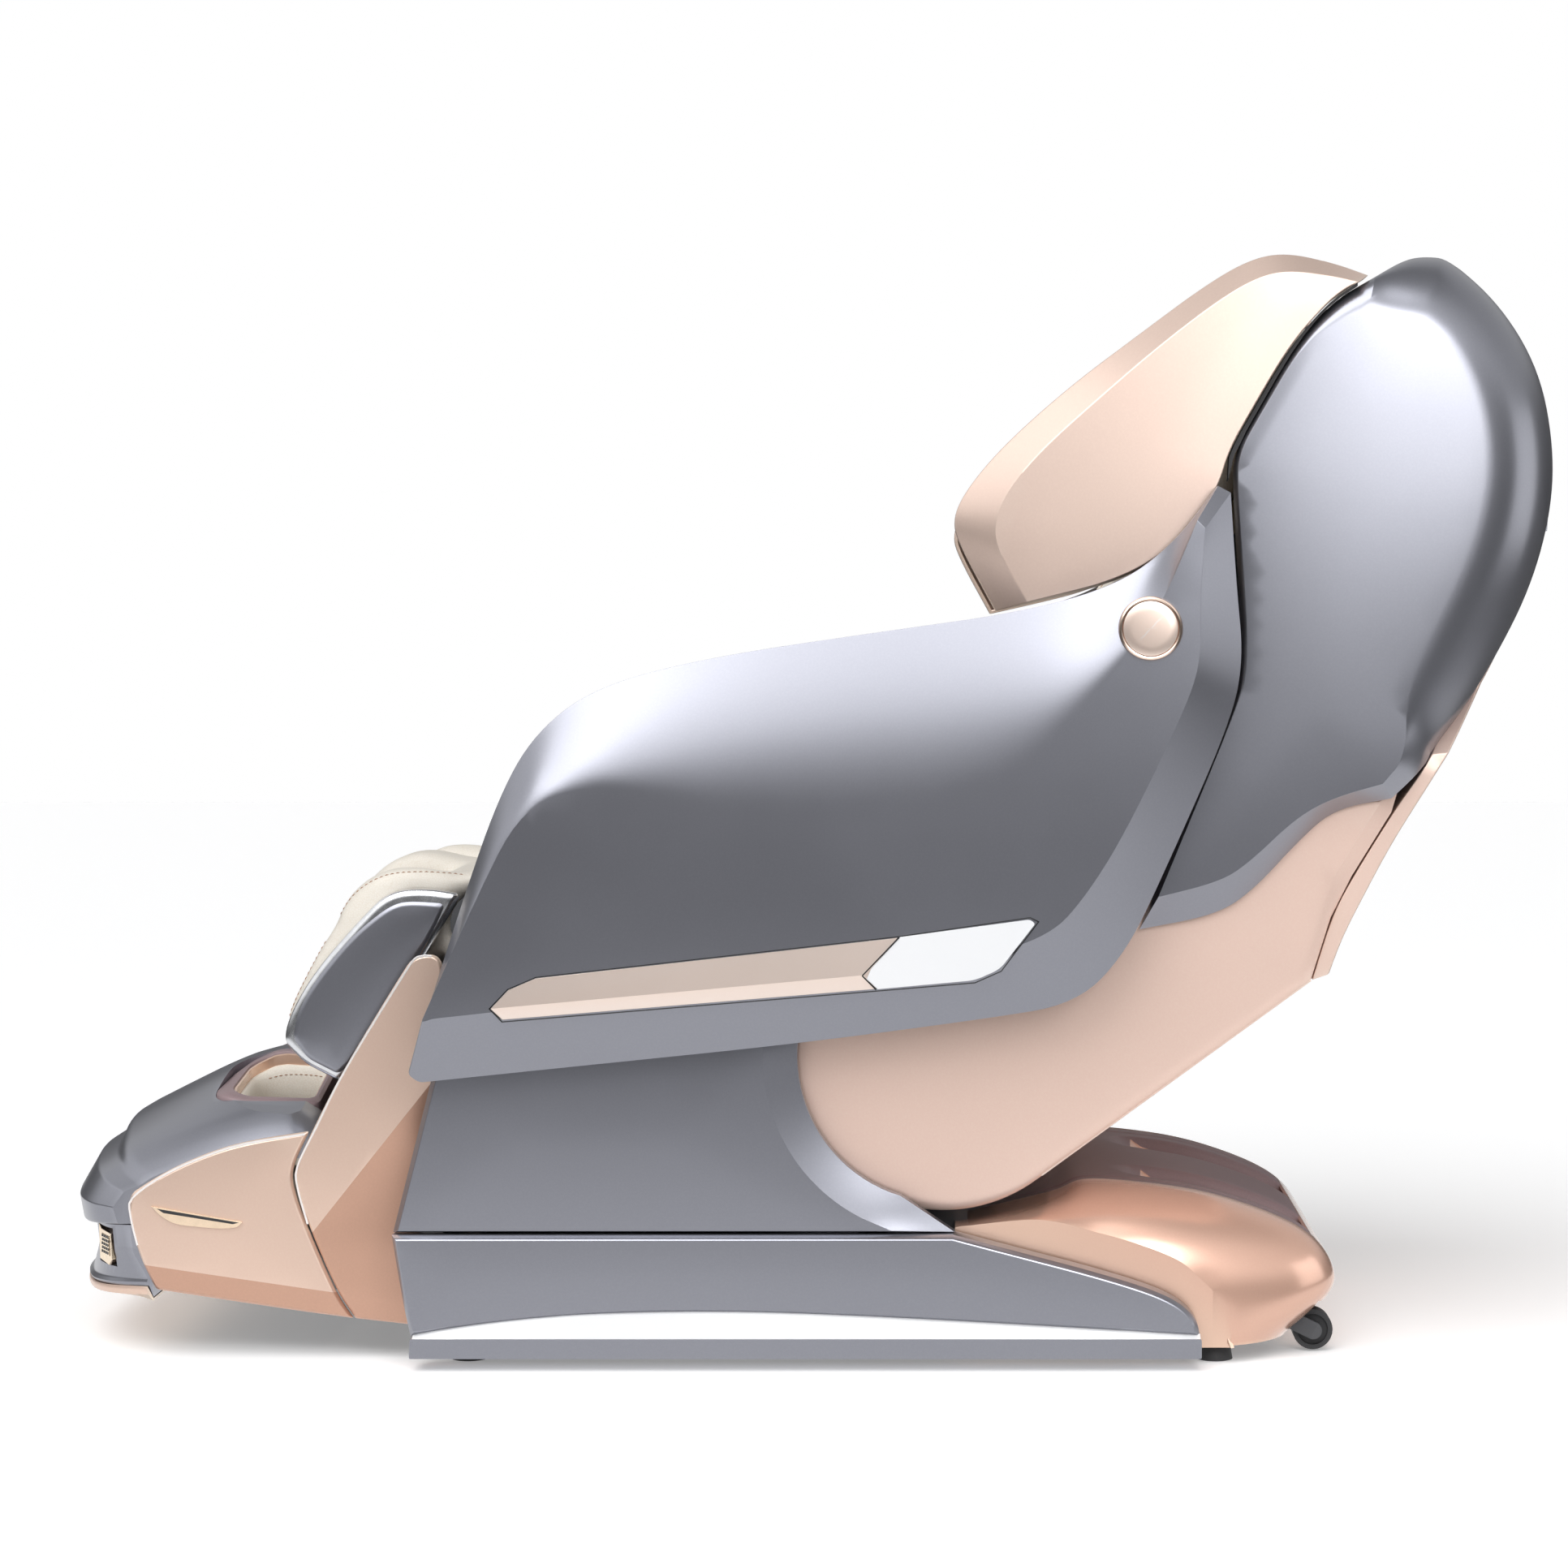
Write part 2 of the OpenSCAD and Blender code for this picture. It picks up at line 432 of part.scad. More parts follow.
// ---- back ----
module back_frame() color("#3b3c41") difference() {
    union() {
        both() {
            side(back_plate_x, back_plate_x + plate) {
                bar(main_pivot, back_yz(102.7, 740), 22);
                disc(main_pivot, boss_r);
            }
            // Rib behind the massage unit, reaching the hood and the rear panel.
            side(rib_x, rib_x + plate) difference() {
                polygon(concat([back_yz(160, 8), back_yz(84, 8), back_yz(84, 785)],
                    moved([for (i = [0:9]) hood_line[i]], -wall - gap),
                    [for (q = reversed(moved(rear_inner, gap))) if (q[1] > 440) q]));
                for (w = [280:130:540]) translate(back_yz(230, w)) circle(r = 48, $fn = 40);
            }
            // Arms that carry the outer shells, the lower shell and the arm pivots.
            for (p = [[640, 840], [690, 1000]]) xbar(p, 10, rib_x, shell_x - wall - gap);
            xbar(back_yz(102.7, 40), 12, 0, tub_x - tub_wall - gap);
            on_back() box([back_plate_x + 1, 84, 400], [264, 118, 436]);
            side(262, 262 + plate) bar(arm_pivot, back_yz(100, 418), 18);
            xbar(arm_pivot, arm_pin_r, 262, pod_x - wall - 3);
        }
        xbar(back_yz(102.7, 736), 12, -back_plate_x - 1, back_plate_x + 1);
    }
    both() xbar(main_pivot, pivot_r + bore_gap, back_plate_x - 1, back_plate_x + plate + 1);
}
module back_board() color("#5a5650") on_back() difference() {
    box([-250, 62 + gap, 4], [250, 80.4, 780]);
    box([-150, 50, 60], [150, 90, 740]);
}
module lower_back_shell() color("#dcbcaa") {
    both() {
        side(tub_x - tub_wall, tub_x)
            polygon(concat(arc(main_pivot, belly_r, 180, 306.8, 18), tub_top));
        side(tub_x - 26, tub_x) polygon(concat(arc(main_pivot, belly_r, 180, 306.8, 18),
            reversed(arc(main_pivot, belly_r - tub_wall, 180, 306.8, 18))));
    }
    side(-tub_x, tub_x) polygon([[252, 194.1], [528, 394], [520, 396], [248.5, 199]]);
}
module back_shells() color("#8d8e97") both() loft(shell_outline, [[321, .97, wall, 0],
    [309, .62, wall, 3], [293, .35, wall, 11], [270, .14, wall, 32], [212, 0, wall, 88],
    [212, 0, 0, 88], [244, .04, 0, 58], [274, .14, 0, 30], [298, .36, 0, 10], [314, .64, 0, 2],
    [shell_x, 1, 0, 0]]);
module back_hood() color("#8d8e97") side(-hood_x, hood_x)
    polygon(concat(hood_line, reversed(moved(hood_line, -wall))));
module rear_panel() color("#dcbcaa") loft(concat(
    [for (i = [0:len(rear_line) - 1]) let (q = rear_line[i], r = moved(rear_line, -15)[i])
        [q[0], q[1], 0, r[0], r[1], q[1] < 590 ? 1 : 0]],
    [for (q = rear_inner) [q[0], q[1], 0, q[0], q[1], q[1] < 590 ? 1 : 0]]),
    [[-hood_x, 1, 0, -70], [-190, .25, 0, -60], [-160, 0, 0, -30], [160, 0, 0, 30],
    [190, .25, 0, 60], [hood_x, 1, 0, 70]]);
module wings() color("#e6cfc1") both() dish(wing_outline, pad_half_w + 2, shell_x, 1, 25);
module wing_liners() color("#f0ebe3") both() side(pad_half_w + 1, 295.5) offset(delta = -wall - gap)
    polygon(flat(rounded(wing_outline)));
module wing_seals() color("#232326") both() side(301, 318) difference() {
    polygon(concat(moved(wing_seam, 6), reversed(moved(shell_seam, -6))));
    offset(delta = 2 * gap) polygon(flat(rounded(wing_outline)));
    offset(delta = gap) polygon(flat(rounded(shell_outline)));
}
module back_pad() color("#f0ebe3") on_back() difference() {
    union() {
        box([-pad_half_w, 0, 4], [pad_half_w, 62, 560]);
        box([-head_half_w, 0, 550], [head_half_w, 62, 786]);
    }
    box([-150, 26, 60], [150, 90, 740]);
}
module head_pillow() color("#f0ebe3") on_back() translate([0, -gap, 590])
    rotate([90, 0, 0]) linear_extrude(48) offset(r = 24, $fn = 32)
    translate([-120, 24]) square([240, 116]);
module massage_rails() color("#b9bbc0") on_back() both() {
    for (w = [22, carriage_travel + 362]) box([155, 118, w], [rib_x - gap, 152, w + 20]);
    translate([massage_x, 135, 30]) cylinder(r = 9, h = carriage_travel + 340, $fn = 40);
}
module massage_carriage() color("#6c6e75") on_back() difference() {
    union() {
        box([-192, 113, 100], [192, 157, 200]);
        box([-60, 157, 115], [60, 190, 185]);
        both() for (w = [115, 185]) {
            hull() {
                translate([34, 113, 150]) rotate([0, 90, 0]) cylinder(r = 12, h = 7, $fn = 24);
                translate([34, roller_u, w]) rotate([0, 90, 0]) cylinder(r = 11, h = 7, $fn = 24);
            }
            translate([34, roller_u, w]) rotate([0, 90, 0]) cylinder(r = 6, h = 35, $fn = 32);
        }
    }
    both() translate([massage_x, 135, 90]) cylinder(r = 9 + bore_gap, h = 120, $fn = 40);
}
module roller(w) on_back() translate([55 - roller_w / 2, roller_u, w]) rotate([0, 90, 0])
    difference() {
        union() {
            cylinder(r = roller_r, h = roller_w, $fn = 64);
            translate([0, 0, -1]) cylinder(r = 11, h = roller_w + 2, $fn = 32);
        }
        translate([0, 0, -3]) cylinder(r = 6 + bore_gap, h = roller_w + 6, $fn = 32);
    }
module roller_upper_left() color("#c9c2b8") roller(185);
module roller_lower_left() color("#c9c2b8") roller(115);
module roller_upper_right() color("#c9c2b8") mirror([1, 0, 0]) roller(185);
module roller_lower_right() color("#c9c2b8") mirror([1, 0, 0]) roller(115);

// ---- arms ----
inlay_outline = [[-308, 376], [-290, 395], [-262, 407], [103, 448], [80, 396], [-296, 365]];
module inlay_shape() hull() {
    side(378, 384) polygon(inlay_outline);
    side(384, 386.5) polygon([[-300, 376], [66, 410], [66, 408]]);
}
module arm_panel() difference() {
    union() {
        dish(arm_outline, pod_in_x, pod_x, 1, 30);
        xbar(arm_pivot, arm_pin_r + 14, pod_in_x, pod_x - 1);
        for (y = [-150, 110]) xbar([y, 600], 9, pod_in_x, pod_x - 1);
    }
    xbar(arm_pivot, arm_pin_r + bore_gap, pod_in_x - 1, pod_x - wall - 2);
    side(370, 390) offset(delta = gap) polygon(inlay_outline);
}
module arm_liner() difference() {
    side(arm_in_x, pod_in_x - gap) intersection() {
        polygon(flat(rounded(arm_outline)));
        translate([-250, 560]) square([445, 300]);
    }
    box([arm_in_x + 12, -160, 640], [pod_x, 300, 900]);
    box([arm_in_x - 5, -300, 655], [pod_x, -159, 900]);
}
module arm_pads() {
    box([arm_in_x + 12 + gap, -159, 640], [pod_in_x - gap, 194, 662]);
    box([arm_in_x + 12 + gap, -150, 662], [arm_in_x + 24, 190, 706]);
}
module arm_panel_left() color("#8d8e97") arm_panel();
module arm_panel_right() color("#8d8e97") mirror([1, 0, 0]) arm_panel();
module arm_liner_left() color("#c9b9b0") arm_liner();
module arm_liner_right() color("#c9b9b0") mirror([1, 0, 0]) arm_liner();
module arm_inlay_left() color("#e3c7b7") inlay_shape();
module arm_inlay_right() color("#e3c7b7") mirror([1, 0, 0]) inlay_shape();
module arm_pads_left() color("#f0ebe3") arm_pads();
module arm_pads_right() color("#f0ebe3") mirror([1, 0, 0]) arm_pads();
module pivot_cap() {
    xbar(arm_pivot, 32, pod_x, pod_x + 2);
    xbar(arm_pivot, 28, pod_x + 2, pod_x + 3.5);
}
module pivot_cap_left() color("#dcbcaa") pivot_cap();
module pivot_cap_right() color("#dcbcaa") mirror([1, 0, 0]) pivot_cap();
module control_panel() color("#2b2b2f") difference() {
    box([-322, -244, 655], [-270, -166, 663]);
    for (y = button_ys) translate([button_x, y, 656]) cylinder(r = button_r + 0.5, h = 20, $fn = 32);
}
module button(y) translate([button_x, y, 659]) cylinder(r = button_r, h = 7, $fn = 32);
module button_up() color("#d8d8dc") button(button_ys[0]);
module button_down() color("#d8d8dc") button(button_ys[1]);

// ---- leg rest ----
leg_tube = [-410, 330];
leg_beam = [-462, 174];
slide_angle = atan2(foot_dir[1], foot_dir[0]);
module legrest_frame() color("#3b3c41") {
    difference() {
        union() {
            xbar(leg_pivot, 34, -hinge_x, hinge_x);
            both() side(200, 200 + plate) bar(leg_pivot, leg_tube, 14);
        }
        xbar(leg_pivot, 30, -drive_x - 3, drive_x + 3);
        xbar(leg_pivot, pivot_r + bore_gap, -300, 300);
    }
    xbar(leg_tube, 18, -leg_plate_x - 1, leg_plate_x + 1);
    both() {
        side(leg_plate_x, leg_plate_x + plate) bar(leg_tube, leg_beam, 20);
        for (p = [leg_tube, leg_beam]) xbar(p, 12, leg_plate_x, leg_x - wall - gap);
    }
    difference() {
        translate([0, leg_beam[0], leg_beam[1]]) rotate([slide_angle, 0, 0])
            box([-leg_plate_x - 1, -18, -17], [leg_plate_x + 1, 18, 17]);
        both() slide_rod(slide_r + bore_gap, -100, 200);
    }
}
module slide_rod(r, start, length) translate([150, leg_beam[0], leg_beam[1]])
    rotate([slide_angle - 90, 0, 0]) translate([0, 0, start]) cylinder(r = r, h = length, $fn = 40);
module calf_sides() color("#9a9ba3") both() loft(calf_rim_outline,
    [[229, 0, 0, 0], [233, 0, 0, 0], [hinge_x, 4, 0, 0]]);
module calf_pad() color("#f0ebe3") difference() {
    union() {
        slab(calf_outline, -228.7, 228.7);
        xbar(leg_pivot, knee_r, -228.7, 228.7);
    }
    both() side(38, 186) polygon(channel_floor);
    xbar(leg_pivot, 34 + gap, -300, 300);
    both() side(200 - gap, 200 + plate + gap) bar(leg_pivot, leg_tube, 14 + gap);
    xbar(leg_tube, 18 + gap, -300, 300);
}
module link_covers() color("#9a9ba3") both() loft(link_outline,
    [[leg_x - wall, 0, 0, 0], [leg_x - 2, 0, 0, 0], [leg_x, 2, 0, 0]]);

// ---- foot unit ----
well = [[-616, 320, 0], [-618, 250, 10], [-672, 200, 20], [-682, 150, 20], [-674, 127, 8],
    [-520, 127, 8], [-520, 320, 0]];
module wells() both() slab(well, 38, 188);
module foot_pan() color("#4a4b50") {
    difference() {
        union() {
            side(-foot_x, foot_x) polygon([[-676, 84], [-600, 68], [-500, 54], [-500, 110],
                [-684, 110]]);
            box([-foot_x, -512, 60], [foot_x, -500, 216]);
            box([-190, -512, 200], [190, -500, 229.5]);
        }
        both() xbar(sole_axle, sole_r + 2, 58, 162);
        xbar(sole_axle, 5 + bore_gap, -175, 175);
    }
    both() slide_rod(slide_r, -88.5, foot_travel + 64);
}
// What lies above the slope from the nose's middle down to its sides.
module above_slope() both() translate([28, -700, 302]) rotate([0, 14, 0])
    box([-20, 0, 0], [240, 200, 80]);
module foot_hood() color("#9a9ba3") difference() {
    ruled(hood_outline, nose);
    above_slope();
    both() side(28 - gap, 198 + gap) {
        offset(delta = gap) polygon(flat(rounded(trim_outline)));
        translate([-610, 262]) square([97, 60]);
    }
}
// Lower front of the foot unit, with a lip and a pocket for a lamp at each corner.
module foot_bumper() color("#84858d") difference() {
    ruled(bumper_outline, nose);
    both() translate([221, -733, 90]) rotate([0, 0, 30]) box([-25, -40, 0], [25, 6, 41]);
}
module foot_trim() color("#8f7f83") difference() {
    both() slab(trim_outline, 28, 198);
    wells();
    above_slope();
}
module foot_sides() color("#e0c3b2") both() loft(foot_side_outline,
    [[foot_x + gap, 0, 0, 0], [leg_x - 4, 0, 0, 0], [leg_x, 5, 0, 0]]);
module foot_liner() color("#f0ebe3") difference() {
    slab([[-512.3, 110.3, 0], [-512.3, 196, 0], [-560, 192, 0], [-640, 160, 0], [-660, 130, 0],
        [-664, 110.3, 0]], -foot_x + 8, foot_x - 8);
    wells();
    both() xbar(sole_axle, sole_r + 2, 58, 162);
    xbar(sole_axle, 5 + bore_gap, -175, 175);
}
module foot_rollers() color("#b98d6c") {
    both() xbar(sole_axle, sole_r, 60, 160);
    xbar(sole_axle, 5, -172, 172);
}

base_frame();
side_covers();
skirts();
front_cover();
rear_fairing();
rear_saddle();
levelling_feet();
air_pump();
power_supply();
power_inlet();
power_switch();
tilt_drive();
wheel_left();
wheel_right();
seat_frame();
seat_pan();
seat_cushion();
recline_drive();
legrest_drive();
back_frame();
back_board();
lower_back_shell();
back_shells();
back_hood();
rear_panel();
wings();
wing_liners();
wing_seals();
back_pad();
head_pillow();
massage_rails();
massage_carriage();
roller_upper_left();
roller_upper_right();
roller_lower_left();
roller_lower_right();
arm_panel_left();
arm_panel_right();
arm_liner_left();
arm_liner_right();
arm_inlay_left();
arm_inlay_right();
arm_pads_left();
arm_pads_right();
pivot_cap_left();
pivot_cap_right();
control_panel();
button_up();
button_down();
legrest_frame();
calf_sides();
calf_pad();
link_covers();
foot_pan();
foot_hood();
foot_bumper();
foot_trim();
foot_sides();
foot_liner();
foot_rollers();
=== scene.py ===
import math

import bmesh
import bpy
import numpy as np
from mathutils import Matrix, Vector
from mathutils.geometry import delaunay_2d_cdt


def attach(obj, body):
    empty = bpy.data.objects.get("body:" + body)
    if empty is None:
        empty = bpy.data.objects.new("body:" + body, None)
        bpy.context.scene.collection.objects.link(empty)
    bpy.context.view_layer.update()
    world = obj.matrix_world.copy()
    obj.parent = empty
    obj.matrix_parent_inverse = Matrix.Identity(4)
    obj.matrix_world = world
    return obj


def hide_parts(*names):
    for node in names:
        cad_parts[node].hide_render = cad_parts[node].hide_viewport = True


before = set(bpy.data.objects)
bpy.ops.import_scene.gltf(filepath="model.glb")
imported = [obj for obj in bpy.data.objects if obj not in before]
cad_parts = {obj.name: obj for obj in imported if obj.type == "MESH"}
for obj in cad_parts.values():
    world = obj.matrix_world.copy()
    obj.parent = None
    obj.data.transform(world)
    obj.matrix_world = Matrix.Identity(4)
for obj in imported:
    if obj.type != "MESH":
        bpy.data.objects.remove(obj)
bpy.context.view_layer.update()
MM = 0.001
S = 99                      # corner cut that means fully smooth


def placed(name, data):
    """A new object in the scene."""
    made = bpy.data.objects.new(name, data)
    bpy.context.scene.collection.objects.link(made)
    return made


# ---------------------------------------------------------------- camera
camera_data = bpy.data.cameras.new("camera")
camera_data.lens = 82.42
camera_data.sensor_width = 36.0
camera_data.clip_end = 60.0
camera = placed("camera", camera_data)
camera.location = (4.0, 0.157, 0.755)
camera_data.shift_x = -0.1072
camera_data.shift_y = -0.0966
camera.rotation_euler = (math.radians(90), 0, math.radians(90))
bpy.context.scene.camera = camera


# ---------------------------------------------------------------- materials
def add_node(tree, kind, inputs=None, **settings):
    """A shader node with its settings, each input set to a number or linked to a socket."""
    made = tree.nodes.new("ShaderNode" + kind)
    for key, value in settings.items():
        setattr(made, key, value)
    for key, value in (inputs or {}).items():
        if isinstance(value, bpy.types.NodeSocket):
            tree.links.new(value, made.inputs[key])
        else:
            made.inputs[key].default_value = value
    return made


def ranged(tree, value, low, high, to_low, to_high):
    """The value mapped from one range to another."""
    return add_node(tree, "MapRange", {"From Min": low, "From Max": high, "To Min": to_low,
                                       "To Max": to_high, "Value": value}).outputs["Result"]


class Paint:
    """A node material with one Principled shader and helpers that add procedural detail to it."""

    def __init__(self, name, roughness=0.4, metallic=0.0, coat=0.0, coat_roughness=0.1,
                 sheen=0.0, specular=0.5):
        self.material = bpy.data.materials.new(name)
        self.material.use_nodes = True
        self.tree = self.material.node_tree
        self.shader = self.tree.nodes["Principled BSDF"]
        for socket, value in (("Roughness", roughness), ("Metallic", metallic),
                              ("Coat Weight", coat), ("Coat Roughness", coat_roughness),
                              ("Sheen Weight", sheen), ("Specular IOR Level", specular)):
            self.set(socket, value)
        self.space = self.node("TexCoord").outputs["Object"]
        self.height = None

    def set(self, socket, value):
        if isinstance(value, bpy.types.NodeSocket):
            self.tree.links.new(value, self.shader.inputs[socket])
        else:
            self.shader.inputs[socket].default_value = value

    def node(self, kind, inputs=None, **settings):
        return add_node(self.tree, kind, inputs, **settings)

    def noise(self, scale, detail=3.0, stretch=(1, 1, 1)):
        space = self.node("Mapping", {"Scale": stretch, "Vector": self.space}).outputs["Vector"]
        return self.node("TexNoise", {"Scale": scale, "Detail": detail,
                                      "Vector": space}).outputs["Fac"]

    def cells(self, scale):
        return self.node("TexVoronoi", {"Scale": scale, "Vector": self.space},
                         feature="DISTANCE_TO_EDGE").outputs["Distance"]

    def mapped(self, value, low, high, to_low, to_high):
        return ranged(self.tree, value, low, high, to_low, to_high)

    def mixed(self, factor, a, b):
        a, b = ((*value, 1) if isinstance(value, tuple) else value for value in (a, b))
        return self.node("Mix", {"Factor": factor, 6: a, 7: b}, data_type="RGBA").outputs[2]

    def drift(self, scale, detail, a, b):
        """Two tones that drift into each other."""
        return self.mixed(self.mapped(self.noise(scale, detail), 0.3, 0.7, 0, 1), a, b)

    def painted_edge_highlight(self, base, share, edge):
        """The base with its outer edges lighter, from the mesh's own curvature: a painted
        highlight along the edges.
        """
        curve = self.node("NewGeometry").outputs["Pointiness"]
        outer = self.mapped(self.mapped(curve, 0.52, 0.62, 0, 1), 0, 1, 0, share)
        self.set("Base Color", self.mixed(outer, base, edge))

    def bump(self, value, distance, strength=1.0):
        inputs = {"Distance": distance, "Strength": strength, "Height": value}
        if self.height is not None:
            inputs["Normal"] = self.height
        self.height = self.node("Bump", inputs).outputs["Normal"]
        self.set("Normal", self.height)


def tint(colour, factor):
    return tuple(min(1.0, c * factor) for c in colour)


def metallic_paint(name, colour, metallic=0.85, roughness=0.29, coat=0.1, flake=0.05):
    """Sprayed shell: fine metal flake, slow tone drift, slight orange peel and a painted
    highlight on the edges.
    """
    p = Paint(name, roughness, metallic, coat, 0.12)
    base = p.drift(2.2, 2, tint(colour, 0.98), tint(colour, 1.02))
    specks = p.mapped(p.noise(480, 2), 0.4, 0.75, 0, flake * 1.6)
    p.painted_edge_highlight(p.mixed(specks, base, tint(colour, 1.5)), 0.5, tint(colour, 1.7))
    # Blender's denoiser draws outlines where roughness drifts across 0.274, so 0.29 stays above.
    p.set("Roughness", p.mapped(p.noise(9, 2), 0.2, 0.8, roughness - 0.012, roughness + 0.012))
    p.bump(p.noise(240, 1), 0.00003, 0.4)
    return p.material


def leather(name, colour, crease=0.5):
    """Soft synthetic leather: pebble grain, fine creases, warmer tone in the hollows."""
    p = Paint(name, 0.48, 0, 0, sheen=0.06)
    grain = p.cells(420)
    base = p.drift(7, 4, tint(colour, 0.94), tint(colour, 1.03))
    pits = p.mapped(grain, 0.0, 0.12, 0.35, 0)
    p.set("Base Color", p.mixed(pits, base, (colour[0] * 0.78, colour[1] * 0.7, colour[2] * 0.6)))
    p.set("Roughness", p.mapped(p.noise(30, 3), 0.2, 0.8, 0.42, 0.56))
    p.bump(p.noise(26, 5, (1, 1, 0.5)), 0.0012 * crease, 0.5)
    p.bump(grain, 0.00035, 0.6)
    return p.material


def moulded(name, colour, roughness=0.5, grain=700, specular=0.5, depth=0.00012):
    """Moulded plastic or rubber with spark-eroded grain and a painted highlight on its edges."""
    p = Paint(name, roughness, specular=specular)
    base = p.drift(9, 3, tint(colour, 0.9), tint(colour, 1.1))
    p.painted_edge_highlight(base, 0.35, tuple(c * 1.25 + 0.03 for c in colour))
    p.set("Roughness", p.mapped(p.noise(40, 3), 0.2, 0.8, roughness - 0.07, roughness + 0.07))
    p.bump(p.noise(grain, 2), depth, 0.6)
    return p.material


def metal(name, colour, roughness=0.25, brushed=(1, 1, 1)):
    """Bare or plated metal with drawn or brushed streaks and a painted highlight on its edges."""
    p = Paint(name, roughness, 1.0)
    streaks = p.noise(90, 4, brushed)
    base = p.mixed(p.mapped(streaks, 0.3, 0.7, 0, 1), tint(colour, 0.9), tint(colour, 1.06))
    p.painted_edge_highlight(base, 0.3, tint(colour, 1.35))
    p.set("Roughness", p.mapped(streaks, 0.2, 0.8, roughness * 0.8, roughness * 1.25))
    p.bump(streaks, 0.00003, 0.5)
    return p.material


def weave(name, colour, pitch):
    """Woven thread: two crossed sets of ribs."""
    p = Paint(name, 0.7, sheen=0.15)
    across, along = (p.node("TexWave", {"Scale": 0.32 / pitch, "Distortion": 0.6,
                                        "Vector": p.space}, bands_direction=way).outputs["Fac"]
                     for way in ("X", "Z"))
    ribs = p.node("Math", {0: across, 1: along}, operation="MULTIPLY").outputs[0]
    p.set("Base Color", p.mixed(ribs, tint(colour, 0.8), tint(colour, 1.1)))
    p.bump(ribs, 0.0003, 0.7)
    return p.material


grey_paint = metallic_paint("grey_paint", (0.30, 0.305, 0.345))
rose_paint = metallic_paint("rose_paint", (0.82, 0.60, 0.49), metallic=0.6, roughness=0.32)
rose_wing = metallic_paint("rose_wing", (0.72, 0.555, 0.475), metallic=0.55, roughness=0.34)
rose_pale = metallic_paint("rose_pale", (0.83, 0.61, 0.52), metallic=0.45, roughness=0.4)
# A darker copy of the rose paint for the panel faces past a fold: painted shade.
rose_painted_shade = metallic_paint("rose_painted_shade", (0.62, 0.37, 0.27), metallic=0.6, roughness=0.34)
edge_glint = metallic_paint("edge_glint", (0.95, 0.88, 0.84), 0.3, 0.25, 0.3, 0.02)
rose_gloss = metallic_paint("rose_gloss", (0.74, 0.46, 0.35), metallic=0.55, roughness=0.24,
                            coat=0.6)
mauve = metallic_paint("mauve", (0.24, 0.172, 0.182), metallic=0.15, roughness=0.5, flake=0.12)
silver = metal("silver", (0.80, 0.81, 0.84), 0.22)
white_gloss = metallic_paint("white_gloss", (0.86, 0.87, 0.89), metallic=0.1, roughness=0.25,
                             coat=0.5, flake=0.02)
rose_metal = metallic_paint("rose_metal", (0.92, 0.74, 0.64), 0.75, 0.3, 0.1, 0.03)
rose_polish = metal("rose_polish", (0.95, 0.72, 0.60), 0.16)
gold_chrome = metal("gold_chrome", (0.95, 0.74, 0.55), 0.12)
ivory = leather("ivory_leather", (0.80, 0.755, 0.68))
ivory_soft = leather("ivory_lining", (0.76, 0.71, 0.64), 0.9)
black_rubber = moulded("black_rubber", (0.022, 0.022, 0.024), 0.6, 420)
dark_plastic = moulded("dark_plastic", (0.045, 0.046, 0.05), 0.42)
black_gloss = moulded("black_gloss", (0.012, 0.012, 0.014), 0.16, 900, 0.6, 0.00002)
frame_coat = moulded("frame_coat", (0.06, 0.062, 0.068), 0.45, 900)
pump_case = moulded("pump_case", (0.11, 0.112, 0.12), 0.5)
roller_plastic = moulded("roller_plastic", (0.55, 0.36, 0.25), 0.35)
supply_metal = metal("supply_metal", (0.62, 0.63, 0.66), 0.35, (1, 8, 1))
rail_metal = metal("rail_metal", (0.70, 0.71, 0.73), 0.22, (1, 1, 0.1))
board_fibre = moulded("board_fibre", (0.30, 0.24, 0.17), 0.75, 260, 0.3, 0.0003)
thread = weave("brown_thread", (0.42, 0.22, 0.12), 0.0009)


# ---------------------------------------------------------------- outlines, [y, z] in millimetres
def clamp(value):
    return min(1, max(0, value))


def lerp(a, b, t):
    return [x + (y - x) * t for x, y in zip(a, b)]


def bezier(a, c, b, t):
    return lerp(lerp(a, c, t), lerp(c, b, t), t)


def cut_share(c, other, cut):
    length = math.hypot(other[0] - c[0], other[1] - c[1])
    return min(cut, length / 2) / max(length, 1e-6)


def rounded(points, n=7):
    """Every corner rounded by its third value, with all further values carried along."""
    made = []
    for i, c in enumerate(points):
        a, b = points[i - 1], points[(i + 1) % len(points)]
        if c[2] == 0:
            made.append(list(c))
            continue
        start = lerp(c, a, cut_share(c, a, c[2]))
        stop = lerp(c, b, cut_share(c, b, c[2]))
        made += [bezier(start, c, stop, k / n) for k in range(n + 1)]
    kept = []
    for i, e in enumerate(made):
        f = made[(i + 1) % len(made)]
        if math.hypot(e[0] - f[0], e[1] - f[1]) > 0.3:
            kept.append(e)
    return kept


def area(points):
    total = 0
    for i, a in enumerate(points):
        b = points[(i + 1) % len(points)]
        total += a[0] * b[1] - a[1] * b[0]
    return total / 2


def ccw(points):
    return points if area(points) > 0 else points[::-1]


def dense(points, step=22):
    """Long edges cut into shorter ones, with all values carried along."""
    made = []
    for i, a in enumerate(points):
        b = points[(i + 1) % len(points)]
        count = max(1, math.ceil(math.hypot(b[0] - a[0], b[1] - a[1]) / step))
        made += [lerp(a, b, k / count) for k in range(count)]
    return made


def with_normals(points):
    """Adds each point's mitred inward normal as its last two values."""
    made = []
    for i, c in enumerate(points):
        a, b = points[i - 1], points[(i + 1) % len(points)]
        u, v = Vector((a[1] - c[1], c[0] - a[0])), Vector((c[1] - b[1], b[0] - c[0]))
        u.normalize()
        v.normalize()
        k = (u + v) / max(1 + u.dot(v), 0.5)
        made.append([*c, k.x, k.y])
    return made


